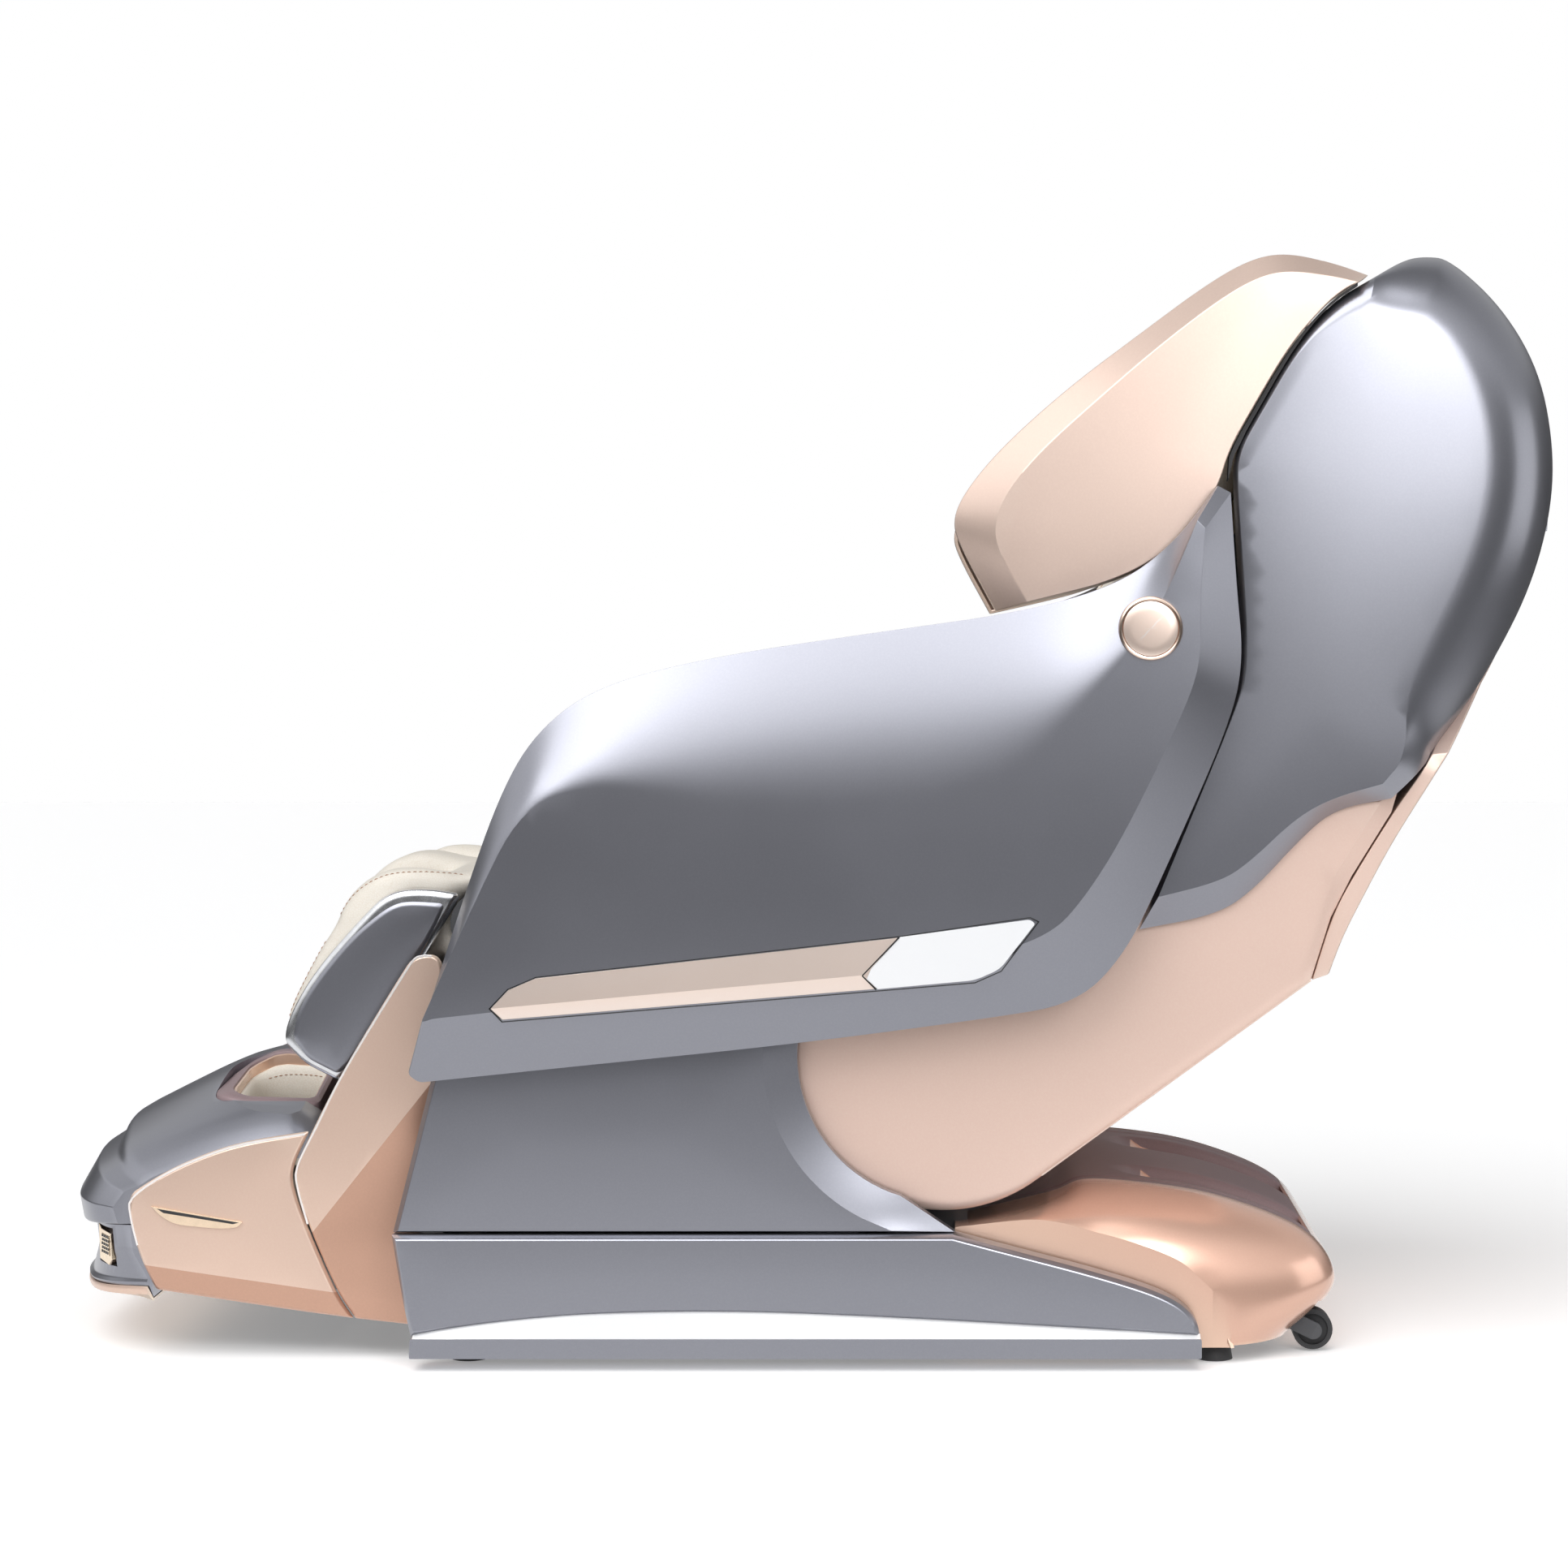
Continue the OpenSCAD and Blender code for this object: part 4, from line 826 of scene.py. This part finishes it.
HOOD = [[-786, 126.5, 6, 1, -.2], [-791, 158, 2, 1, 0], [-769, 197, 3, .86, .3],
        [-744, 213, 4, .75, .42], [-740, 228, 8, .84, .53], [-697, 250, S, .85, .6],
        [-640, 278, S, .69, .84], [-590, 294, S, .5, .98], [-556, 298, 8, .4, 1],
        [-520, 268, 20, .1, .5], [-500, 250, 4, 0, .3], [-500, 238, 2, 0, .25],
        [-560, 240, S, 0, .56], [-640, 222, S, .2, .5], [-696, 172, 8, .5, .2],
        [-712, 128, 6, .58, -.2]]
NOSE = np.array(smooth_line([[0, 0, 0], [60, 1, 1], [120, 8, 8], [190, 23, 26], [235, 44, 46],
                             [262, 74, 62]], 4))
NOSE_XS = sorted({round(float(x), 2) for a, b, n in ((0, 190, 20), (190, 218, 4), (218, 262, 7))
                  for x in np.linspace(a, b, n)})
NOSE_XS = [-x for x in NOSE_XS[::-1]] + NOSE_XS[1:]


def nose_section(line, x):
    """A section of the foot unit's nose at this place across the chair."""
    push = float(np.interp(abs(x), NOSE[:, 0], NOSE[:, 1]))
    drop = float(np.interp(abs(x), NOSE[:, 0], NOSE[:, 2]))
    made = []
    for p in line:
        y, z = p[0] + push * p[3], p[1] - drop * p[4]
        z -= 8 * max(0, (abs(x) - 225) / 37) * clamp((z - 150) / 40)    # fenders slope down
        made.append([x, y, z])
    return made


def cut(target, tools, operation="DIFFERENCE"):
    """Subtracts closed millimetre shapes from an object's mesh for good, or adds them."""
    for part in tools:
        mesh = mesh_from("tool", part, 1e-5)
        tool = placed("tool", mesh)
        modifier = target.modifiers.new("cut", "BOOLEAN")
        modifier.operation = operation
        modifier.solver = "EXACT"
        modifier.object = tool
        bake(target)
        bpy.data.objects.remove(tool)
        bpy.data.meshes.remove(mesh)


def bake(target):
    """Applies every modifier to the mesh."""
    bpy.context.view_layer.update()
    graph = bpy.context.evaluated_depsgraph_get()
    done = bpy.data.meshes.new_from_object(target.evaluated_get(graph))
    old = target.data
    target.modifiers.clear()
    target.data = done
    done.name = old.name
    bpy.data.meshes.remove(old)


def nose_loft(outline):
    line = ccw(rounded(outline, 5))
    return capped([nose_section(line, x) for x in NOSE_XS])


FOOT_X = 113                # middle of a foot well, across the chair


def rim_loop(half_x, front, rear, corner, n=14):
    """A rounded rectangle in plan round the middle of a foot well, as [x, y] points."""
    low, high = FOOT_X - half_x, FOOT_X + half_x
    corners = [[low, front, corner], [high, front, corner], [high, rear, corner * .3],
               [low, rear, corner * .3]]
    return [p[:2] for p in rounded(corners, n)]


def rim_height(x, y):
    """Height of the foot wells' rim, which falls from the middle to the sides."""
    centre = float(np.interp(y, [-632, -612, -588, -562, -513], [272, 284, 294, 297, 290]))
    side = float(np.interp(y, [-632, -612, -588, -562, -513], [262, 262, 258, 258, 256]))
    return centre + (side - centre) * clamp((x - 28) / 170) ** 1.15


def rim_ring(half_x, front, rear, corner, lift):
    return [[x, y, rim_height(x, y) + lift] for x, y in rim_loop(half_x, front, rear, corner)]


# the well's rim, from its outer foot over its crest to the inner edge, then down inside
outer, inner = (85, -630, -513.2, 46), (70, -612, -521, 36)
middle = [(a + b) / 2 for a, b in zip(outer, inner)]
rims = [rim_ring(*outer, -26), rim_ring(*outer, -2.5), rim_ring(84, -629, -513.6, 46, -0.6),
        rim_ring(*middle, 1.2), rim_ring(71, -613, -520.5, 36, 0.2), rim_ring(*inner, -2),
        rim_ring(*inner, -26)]
piece("well_trims", both(looped(rims)), mauve, "foot_unit", ["foot_trim"], 40)
walls_in = [rim_ring(69.8, -611.8, -521.2, 36, -2), rim_ring(69.8, -611.8, -521.2, 36, -62),
            rim_ring(68, -610, -523, 36, -62), rim_ring(68, -610, -523, 36, -3)]
piece("well_walls", both(looped(walls_in)), rose_gloss, "foot_unit", sharp=40)
roll = [rim_ring(67 - 7 * math.cos(a), -609 + 7 * math.cos(a), -524 - 7 * math.cos(a), 34,
                 -36 + 23 * math.sin(a)) for a in np.linspace(-1.4, 3.6, 15)]
well_rolls = piece("well_rolls", both(looped(roll)), ivory, "foot_unit", sharp=60)

hood = loose("hood_shell", nose_loft(HOOD), grey_paint)
trim_cut = prism(rim_loop(85.4, -630.4, -500, 46), 168, 330, 2)
slope = [[28, 300], [113, 285], [198, 259], [250, 246], [250, 340], [28, 340]]
slope_cut = prism(slope, -660, -480, 1)
cut(hood, [trim_cut, mirrored(trim_cut), slope_cut, mirrored(slope_cut)])
shade(hood, 14)
settle(hood, "foot_unit", ["foot_hood"])

BUMPER = [[-784, 63.4, 1, 1.42, -.18], [-786.5, 66, 1, 1.42, -.2], [-781, 71, 2, 1.36, -.18],
          [-770, 104, 4, 1, -.1], [-773, 125.6, 0, 1, -.2], [-684.6, 125.6, 0, 0, -.2],
          [-684.6, 110, 0, 0, 0], [-676.6, 84, 0, 0, 0], [-674.4, 63.4, 0, 0, 0]]
LIP = [[-785, 54.4, 2, 1.42, -.18], [-787, 58, 2, 1.42, -.19], [-786, 62, 1, 1.42, -.2],
       [-674.4, 62, 0, 0, 0], [-674.4, 59, 0, 0, 0]]


def at_corner(u, v, z):
    """A place in the front corner's pocket: u along it, v into it."""
    turn = math.radians(30)
    return [221 + u * math.cos(turn) - v * math.sin(turn),
            -733 + u * math.sin(turn) + v * math.cos(turn), z]


def corner_plate(outline, v0, v1):
    a, b = ([at_corner(u, v, z) for u, z in outline] for v in (v0, v1))
    n = len(outline)
    return joined(bands([a, b]), (a, [list(range(n))]), (b, [list(range(n))[::-1]]))


bumper = loose("bumper", nose_loft(BUMPER), grey_paint)
pocket = corner_plate([[-25, 91], [25, 91], [25, 131.5], [-25, 131.5]], -40, 5.8)
cut(bumper, [pocket, mirrored(pocket)])
shade(bumper, 17)
settle(bumper, "foot_unit", ["foot_bumper"])
piece("bumper_lip", nose_loft(LIP), rose_paint, "foot_unit", sharp=30)
LAMP = [[-23, 131], [-14, 126], [19, 125], [24, 99], [13, 91.4], [-18, 94]]
lamp_plate = corner_plate(LAMP, -1.5, 5.5)
lamp_face = corner_plate([[-11, 122], [14, 121], [17, 101], [-13, 99]], -2.2, 0)
dots = []
for row in range(5):
    for column in range(4):
        u, z = -8 + column * 6.4 + (row % 2) * 1.4, 103.5 + row * 4.1
        dots.append(corner_plate([[u - 1.6, z - 1], [u + 1, z - 1.4], [u + 1.6, z + 1],
                                  [u - 1, z + 1.4]], -2.8, -1))
piece("corner_lamps", both(joined(lamp_plate, lamp_face)), gold_chrome, "foot_unit", sharp=30,
      bevel=0.5)
piece("corner_lamp_dots", both(joined(*dots)), black_gloss, "foot_unit")
WELL = [[-616, 320, 0], [-618, 250, 10], [-672, 200, 20], [-682, 150, 20], [-674, 127, 8],
        [-520, 127, 8], [-520, 320, 0]]


# ---------------------------------------------------------------- soft parts
PRESSURE, FRAMES, STIFFNESS = 4.0, 20, 12


def swell(made, voxel, cap, pins=None):
    """Blows a closed shape up a little as cloth: remeshed, simulated, capped and applied."""
    remesh = made.modifiers.new("remesh", "REMESH")
    remesh.mode = "VOXEL"
    remesh.voxel_size = voxel * MM
    bake(made)
    rest = np.array([v.co[:] for v in made.data.vertices])
    if pins is not None:
        group = made.vertex_groups.new(name="pins")
        for i, p in enumerate(rest):
            if pins(p / MM):
                group.add([i], 1.0, "REPLACE")
    cloth = made.modifiers.new("cloth", "CLOTH")
    cloth.settings.use_pressure = True
    cloth.settings.uniform_pressure_force = PRESSURE
    cloth.settings.effector_weights.gravity = 0
    cloth.settings.tension_stiffness = STIFFNESS
    cloth.settings.compression_stiffness = STIFFNESS
    cloth.settings.quality = 4
    if pins is not None:
        cloth.settings.vertex_group_mass = "pins"
    cloth.point_cache.frame_end = FRAMES
    for step in range(1, FRAMES + 1):
        bpy.context.scene.frame_set(step)
    graph = bpy.context.evaluated_depsgraph_get()
    eased = made.evaluated_get(graph).data
    now = np.array([v.co[:] for v in eased.vertices])
    made.modifiers.clear()
    bpy.context.scene.frame_set(1)
    shift = now - rest
    length = np.linalg.norm(shift, axis=1, keepdims=True)
    limit = cap * MM
    shift *= limit * np.tanh(length / limit) / np.maximum(length, 1e-9)
    for v, p in zip(made.data.vertices, rest + shift):
        v.co = p
    smooth = made.modifiers.new("smooth", "CORRECTIVE_SMOOTH")
    smooth.iterations = 6
    smooth.use_only_smooth = True
    bake(made)


def sew(made, seams, depth, width, facing):
    """Presses sewn channels into a padded mesh. A seam gives a point's distance to it in mm."""
    for v in made.data.vertices:
        p = v.co / MM
        if not facing(p, v.normal):
            continue
        near = min(abs(seam(p)) for seam in seams)
        v.co = v.co - v.normal * depth * MM * math.exp(-(near / width) ** 2)
    made.data.update()


def upright(made):
    """Takes a mesh drawn in the back's own frame to its place on the leaning back."""
    for v in made.data.vertices:
        v.co = Vector(on_back(*(v.co / MM))) * MM
    made.data.update()


def cushion(made, body, node, voxel, cap, seams=(), pins=None, leaning=False):
    """Makes a padded piece of a plain closed one: swollen, sewn, subdivided once and
    settled. seams: (distances, depth, width, facing) of each group."""
    swell(made, voxel, cap, pins)
    for seam in seams:
        sew(made, *seam)
    fine = made.modifiers.new("fine", "SUBSURF")
    fine.levels = fine.render_levels = 1
    bake(made)
    shade(made)
    if leaning:
        upright(made)
    settle(made, body, [node])


def box(low, high):
    (a, b, c), (d, e, f) = low, high
    return ([[a, b, c], [d, b, c], [d, e, c], [a, e, c], [a, b, f], [d, b, f], [d, e, f],
             [a, e, f]], [[0, 3, 2, 1], [4, 5, 6, 7], [0, 1, 5, 4], [1, 2, 6, 5], [2, 3, 7, 6],
                          [3, 0, 4, 7]])


def stitches(name, made, path, toward, body, pitch=7.0, length=4.6, radius=0.55):
    """Thread stitches along a millimetre path, dropped onto a padded mesh in one direction."""
    line = np.array(smooth_line(path, 2.0))
    steps = np.linalg.norm(np.diff(line, axis=0), axis=1)
    at = np.concatenate([[0], np.cumsum(steps)])
    parts = []
    aim = Vector(toward).normalized()
    for s in np.arange(pitch, at[-1] - pitch, pitch):
        ends = []
        for d in (-length / 2, 0, length / 2):
            p = Vector([np.interp(s + d, at, line[:, k]) for k in range(3)]) * MM
            hit, place, normal, _ = made.ray_cast(p - aim * 0.06, aim)
            if not hit:
                break
            ends.append((place / MM, normal))
        if len(ends) < 3:
            continue
        along = (ends[2][0] - ends[0][0]).normalized()
        if (ends[2][0] - ends[0][0]).length > length * 2:
            continue
        rings = []
        for (place, normal), lift, size in zip(ends, (-0.3, 0.45, -0.3), (0.6, 1.0, 0.6)):
            across = along.cross(normal).normalized()
            centre = place + normal * lift
            rings.append([list(centre + (across * math.cos(a) + normal * math.sin(a))
                               * radius * size) for a in np.arange(0, 6.1, 1.0472)])
        verts, faces = bands(rings)
        faces += [[5, 4, 3, 2, 1, 0], [12, 13, 14, 15, 16, 17]]
        parts.append((verts, faces))
    if parts:
        piece(name, joined(*parts), thread, body)


# seat cushion
knee = arc(LEG_PIVOT, 69, -57, 59, 9)
seat_line = [[p[0], p[1], 0] for p in knee] + [[-285, 508, 22], [-120, 474, S], [60, 434, 40],
                                               [84, 431, 8], [77, 412, 10], [70, 390, 4]]
SEAT_SEAM = 92              # the seat's two long seams, across the chair
seat = loose("seat_pad", slab(seat_line, -228, 228, 5), ivory)
cushion(seat, "seat", "seat_cushion", 7, 9,
        [([lambda p: abs(p.x) - SEAT_SEAM], 7, 7, lambda p, n: n.z > 0.4),
         ([lambda p: p.y + 120], 4, 6, lambda p, n: n.z > 0.4 and abs(p.x) < SEAT_SEAM)],
        lambda p: p[2] < 396)
for sign, word in SIGNS:
    for k, gap in enumerate((6.5, -6.5)):
        path = [[sign * SEAT_SEAM + gap, y, 520] for y in (-282, -160, -40, 78)]
        stitches(f"seat_stitch_{word}_{k}", seat, path, (0, 0, -1), "seat")

# back pad, in the back's own frame: x across, y to the rear, z up the back
pad_line = [[-250, 10, 20], [250, 10, 20], [250, 545, 40], [233, 600, S], [233, 779, 40],
            [-233, 779, 40], [-233, 600, S], [-250, 545, 40]]
BACK_SEAM = 165
pad = loose("back_cushion", prism(rounded(pad_line, 5), 7, 61, 1), ivory)
cut(pad, [box([-150, 27, 60], [150, 90, 740])])
cushion(pad, "back", "back_pad", 8, 8,
        [([lambda p: p.z - 150, lambda p: p.z - 300, lambda p: p.z - 450, lambda p: p.z - 575],
          6, 8, lambda p, n: n.y < -0.3 and abs(p.x) < BACK_SEAM),
         ([lambda p: abs(p.x) - BACK_SEAM], 7, 7, lambda p, n: n.y < -0.3)],
        lambda p: p[1] > 20, leaning=True)
for sign, word in SIGNS:
    path = [on_back(sign * (BACK_SEAM + 7), -10, w) for w in (40, 250, 500, 760)]
    stitches(f"back_stitch_{word}", pad, path, (0, math.cos(LEAN), -math.sin(LEAN)), "back")

pillow_line = rounded([[-138, 597, 30], [138, 597, 30], [138, 748, 30], [-138, 748, 30]], 6)
pillow = loose("neck_pillow", prism(pillow_line, -43, -3, 1), ivory)
cushion(pillow, "back", "head_pillow", 6, 9,
        [([lambda p: p.y + 22], 3, 4, lambda p, n: abs(n.y) < 0.7)], None, True)

# the lining that closes the back over the pad's upper end
over = smooth_line([[598, 1118], [590, 1100], [573, 1079], [548, 1058]], 6)
rings = []
for x in np.linspace(-252, 252, 17):
    front = moved(over, -4 * (1 - (x / 252) ** 2))
    rings.append([[x, *p] for p in front + moved(over, 4)[::-1]])
piece("crown_lining", capped(rings), ivory_soft, "back", sharp=50)

# padded linings inside the wings and along the arms
wing_pads = loose("wing_linings", both(slab(inset(WING, 9), 262, 292, 4)), ivory_soft)
cushion(wing_pads, "back", "wing_liners", 7, 4, pins=lambda p: abs(p[0]) > 286)

liner_top = [p for p in rounded(ccw([row[:3] for row in ARM]), 4)
             if -248 < p[0] < 193 and p[1] > 560]
liner_top.sort(key=lambda p: -p[0])
lining = [[-246, 562], [191, 562], [191, liner_top[0][1] - 5]]
lining += [[p[0], p[1] - 5] for p in liner_top] + [[-246, liner_top[-1][1] - 8]]
hollows = [box([273.5, -162, 639], [340, 302, 900]), box([250, -302, 653], [340, -158, 900])]
arm_pad = joined(box([277, -156, 641], [328, 191, 659]), box([275, -147, 660], [285, 187, 703]))
for side, turned in SIDES:
    lining_pad = loose("arm_lining_" + side, turned(slab(lining, 264, 329)), ivory_soft)
    cut(lining_pad, [turned(hollow) for hollow in hollows])
    cushion(lining_pad, "arm_" + side, "arm_liner_" + side, 6, 2.5,
            pins=lambda p: abs(p[0]) > 320 or p[2] < 575)
    cushion(loose("arm_pads_" + side, turned(arm_pad), ivory), "arm_" + side,
            "arm_pads_" + side, 5, 5)

# calf pad
CALF = [[-556, 330, S], [-558, 348, S], [-540, 388, S], [-506, 451, S], [-480, 490, S],
        [-440, 512, S], [-395, 516, S], [-344, 508, 10], [-373, 443, S], [-462, 292, 10],
        [-490, 284, 8], [-530, 306, S]]
CHANNEL = [[-520, 262], [-364, 518], [-430, 640], [-680, 420], [-660, 250]]
calf = loose("calf_cushion", slab(inset(CALF, 5), -222, 222, 5), ivory)
channel = slab(CHANNEL, 38, 186)
knee_part = prism(arc(LEG_PIVOT, 58, 0, 353, 40), -222, 222)
hinge = prism(arc(LEG_PIVOT, 36, 0, 353, 40), -300, 300)
cut(calf, [knee_part], "UNION")
cut(calf, [channel, mirrored(channel), hinge])
cushion(calf, "legrest", "calf_pad", 7, 8,
        pins=lambda p: (p[1] + 335) ** 2 + (p[2] - 450) ** 2 < 44 ** 2)
stitch_line = [[-545, 340], [-540, 356], [-526, 388], [-494, 448], [-472, 480], [-440, 499],
               [-400, 503], [-352, 499]]
for sign, word in SIGNS:
    stitches("calf_stitch_" + word, calf, [[sign * 225, *p] for p in stitch_line],
             (-sign, 0, 0), "legrest", 6.0)

# foot wells' lining
liner = loose("foot_lining", slab([[-514, 112], [-514, 193], [-560, 189], [-638, 157],
                                   [-657, 130], [-661, 112]], -252, 252), ivory)
well_cut = slab(WELL, 38, 188, 4)
sole = prism(arc((-570, 112), 18.5, 0, 350, 30), 58, 162)
cut(liner, [well_cut, mirrored(well_cut), sole, mirrored(sole)])
cushion(liner, "foot_unit", "foot_liner", 5, 2.0, pins=lambda p: p[2] < 118)
for word, x, toward in (("left_inner", 62, -1), ("left_outer", 164, 1), ("right_inner", -62, 1),
                        ("right_outer", -164, -1)):
    stitches("well_stitch_" + word, well_rolls,
             [[x, y, rim_height(abs(x), y) - 21] for y in (-597, -575, -550, -530)],
             (toward, 0, 0), "foot_unit", 5.5, 3.8)


# ---------------------------------------------------------------- rear fairing and saddle
def spaced(points, n):
    """n points along a smooth line, evenly spaced from corner to corner."""
    p = np.array([2 * np.array(points[0]) - points[1], *points, 2 * np.array(points[-1])
                  - points[-2]], float)
    made = []
    for s in np.linspace(0, len(points) - 1, n):
        k = min(int(s), len(points) - 2)
        made.append(list(catmull(*p[k:k + 4], s - k)))
    return made


def shell_from(name, part, material, thick):
    """A moulded skin: the drawn surface is its outside."""
    made = loose(name, part, material)
    solid = made.modifiers.new("wall", "SOLIDIFY")
    solid.thickness = thick * MM
    solid.offset = -1
    bake(made)
    return made


CREASE = [[160, 140], [173, 142], [248, 148], [307, 135], [349, 123], [391, 106], [416, 85],
          [433, 66], [444, 38], [445, 18]]
CROWN = [[160, 142], [178, 144], [262, 164], [303, 177], [400, 168], [470, 150], [528, 124],
         [557, 92], [557, 60], [510, 18]]
low, high = spaced(CREASE, 73), spaced(CROWN, 73)
START = math.radians(20)
rings = []
for p, q in zip(low, high):
    ring = [[290, p[0], 16], [290, *p]]
    for b in np.linspace(START, math.pi / 2, 15)[1:]:
        share = (math.sin(b) - math.sin(START)) / (1 - math.sin(START))
        ring.append([200 + 90 * math.cos(b) / math.cos(START), *lerp(p, q, share)])
    rings.append(ring)
flank = bands(rings, closed=False)
tail = bands([[[x, *p] for x in np.linspace(200, -200, 21)] for p in high[50:]], closed=False)
fairing = shell_from("fairing_shell", joined(flank, mirrored(flank), tail), rose_gloss, 3.5)
wheel_hole = lathe([(192, 32), (238, 32)], (536, 22.5), 40)
cut(fairing, [wheel_hole, mirrored(wheel_hole), box([-75.3, 520, 55.7], [75.3, 600, 98.3])])
shade(fairing, 13)
settle(fairing, "base", ["rear_fairing"])

GROOVE_X, GROOVE_HALF, GROOVE_DEPTH = 112, 38, 15       # the saddle's two channels
ridge = high[9:55]
rings = []
for k, (p, q) in enumerate(zip(ridge, moved(ridge, 1))):
    up = [q[0] - p[0], q[1] - p[1]]
    ring = []
    for x in np.linspace(-199, 199, 160):
        crown = -1.5 * (1 - (x / 200) ** 2) * min(1, (k + 3) / 12) * min(1, (len(ridge) - k) / 9)
        off = abs(abs(x) - GROOVE_X)
        wall = 1 / (1 + math.exp((off - GROOVE_HALF) / 2.2))
        entry = 1 / (1 + math.exp(-(p[0] - 352 - 22 * (off / GROOVE_HALF) ** 2) / 5))
        groove = GROOVE_DEPTH * wall * entry
        rib = 2.0 * math.exp(-((abs(x) - 178) / 3.0) ** 2)
        t = crown - groove - rib
        ring.append([x, p[0] + up[0] * t, p[1] + up[1] * t])
    rings.append(ring)
saddle = shell_from("saddle_shell", bands(rings, closed=False), mauve, 4)
saddle.data.materials.append(rose_gloss)
for face in saddle.data.polygons:
    c = face.center / MM
    if 78 < abs(c.x) < 146 and c.y > 362:
        face.material_index = 1
shade(saddle, 40)
settle(saddle, "base", ["rear_saddle"])

# ---------------------------------------------------------------- materials of kept parts
KEPT = (
    (frame_coat, "base_frame seat_frame seat_pan back_frame legrest_frame"),
    (dark_plastic, "front_cover power_inlet massage_carriage foot_pan"),
    # The wing seals' black rubber fills the gap between wings and back shells and stands in for
    # the gap's shade: a painted shadow.
    (black_rubber, "levelling_feet wheel_left wheel_right wing_seals"),
    (pump_case, "air_pump tilt_drive recline_drive legrest_drive"),
    (black_gloss, "power_switch control_panel"),
    (roller_plastic, "roller_upper_left roller_upper_right roller_lower_left"),
    (roller_plastic, "roller_lower_right foot_rollers"),
    (silver, "button_up button_down"),
    (supply_metal, "power_supply"),
    (rail_metal, "massage_rails"),
    (board_fibre, "back_board"))
for material, names in KEPT:
    for name in names.split():
        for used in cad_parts[name].material_slots:
            used.material = material

# ---------------------------------------------------------------- light, floor, camera settings
WHITE = (1, 1, 1, 1)
world = bpy.data.worlds.new("studio")
bpy.context.scene.world = world
world.use_nodes = True
tree = world.node_tree
tree.nodes.clear()
way = add_node(tree, "TexCoord").outputs["Generated"]
height = add_node(tree, "SeparateXYZ", {0: way}).outputs["Z"]
walls = add_node(tree, "ValToRGB", {0: height})
walls.color_ramp.interpolation = "EASE"
stops = walls.color_ramp.elements
for place, level in ((0.0, 0.10), (0.12, 0.16), (0.38, 1.0), (0.66, 0.9), (0.90, 0.35)):
    stop = stops[0] if place == 0 else stops.new(place)
    stop.position, stop.color = place, (level, level, level, 1)
stops.remove(stops[-1])
# The studio's walls are brighter in front of the chair's left side than behind it.
turn = add_node(tree, "VectorMath", {0: way, 1: (0.8, -0.6, 0)}, operation="DOT_PRODUCT")
shaded = ranged(tree, turn.outputs["Value"], -0.5, 0.5, 0.55, 1.1)
wall_light = add_node(tree, "Math", {0: walls.outputs[0], 1: shaded}, operation="MULTIPLY")
rays = add_node(tree, "LightPath").outputs
strength = add_node(tree, "Mix", {0: rays["Is Glossy Ray"], 2: 0.30, 3: wall_light.outputs[0]},
                    data_type="FLOAT")
ambient = add_node(tree, "Background", {0: WHITE, 1: strength.outputs[0]})
backdrop = add_node(tree, "Background", {0: WHITE, 1: 1.0})
seen = add_node(tree, "Math", {0: rays["Is Camera Ray"], 1: rays["Is Transmission Ray"]},
                operation="MAXIMUM")
blend = add_node(tree, "MixShader", {0: seen.outputs[0], 1: ambient.outputs[0],
                                     2: backdrop.outputs[0]})
add_node(tree, "OutputWorld", {0: blend.outputs[0]})


def aimed(made, way):
    """Turns a light so that it shines this way."""
    made.rotation_euler = Vector(way).to_track_quat("-Z", "Y").to_euler()


def lamp(name, place, aim, size, power):
    data = bpy.data.lights.new(name, "AREA")
    data.shape = "RECTANGLE"
    data.size, data.size_y = size
    data.energy = power
    made = placed(name, data)
    made.location = place
    aimed(made, Vector(aim) - Vector(place))
    made.visible_camera = False


sun_data = bpy.data.lights.new("sky", "SUN")
sun_data.angle = math.radians(55)
sun_data.energy = 2.1
aimed(placed("sky", sun_data), (-0.5, 0.25, -0.85))
lamp("softbox", (3.2, -0.1, 2.2), (0.385, 0, 0.7), (3.6, 0.9), 14)
lamp("card", (2.9, 1.1, 1.6), (0.33, 0.6, 1.05), (0.9, 1.3), 19)
lamp("rim", (0.4, 3.4, 0.9), (0.2, 0.6, 0.8), (2.0, 1.4), 11)

floor_mesh = bpy.data.meshes.new("floor")
floor_mesh.from_pydata([[-12, -12, 0], [12, -12, 0], [12, 12, 0], [-12, 12, 0]], [],
                       [[0, 1, 2, 3]])
floor = placed("floor", floor_mesh)
floor.location.z = -0.0005
floor_paint = bpy.data.materials.new("floor_white")
floor_paint.use_nodes = True
tree = floor_paint.node_tree
base = tree.nodes["Principled BSDF"]
for key, value in (("Base Color", (0.88, 0.88, 0.885, 1)), ("Roughness", 0.75),
                   ("Specular IOR Level", 0.15), ("Emission Color", WHITE)):
    base.inputs[key].default_value = value
rays = add_node(tree, "LightPath").outputs
glow = add_node(tree, "Math", {0: rays["Is Camera Ray"], 1: 0.25}, operation="MULTIPLY")
tree.links.new(glow.outputs[0], base.inputs["Emission Strength"])
# In reflections the floor is bright close to the chair and dark further out, as in a studio.
spot = add_node(tree, "NewGeometry").outputs["Position"]
reach = add_node(tree, "VectorMath", {0: spot}, operation="LENGTH").outputs["Value"]
mirror = add_node(tree, "Emission", {"Strength": ranged(tree, reach, 1.7, 2.4, 1.0, 0.1)})
choice = add_node(tree, "MixShader", {0: rays["Is Glossy Ray"], 1: base.outputs[0],
                                      2: mirror.outputs[0]})
tree.links.new(choice.outputs[0], tree.nodes["Material Output"].inputs[0])
floor_mesh.materials.append(floor_paint)

bpy.context.scene.view_settings.view_transform = "Standard"


bpy.context.view_layer.update()
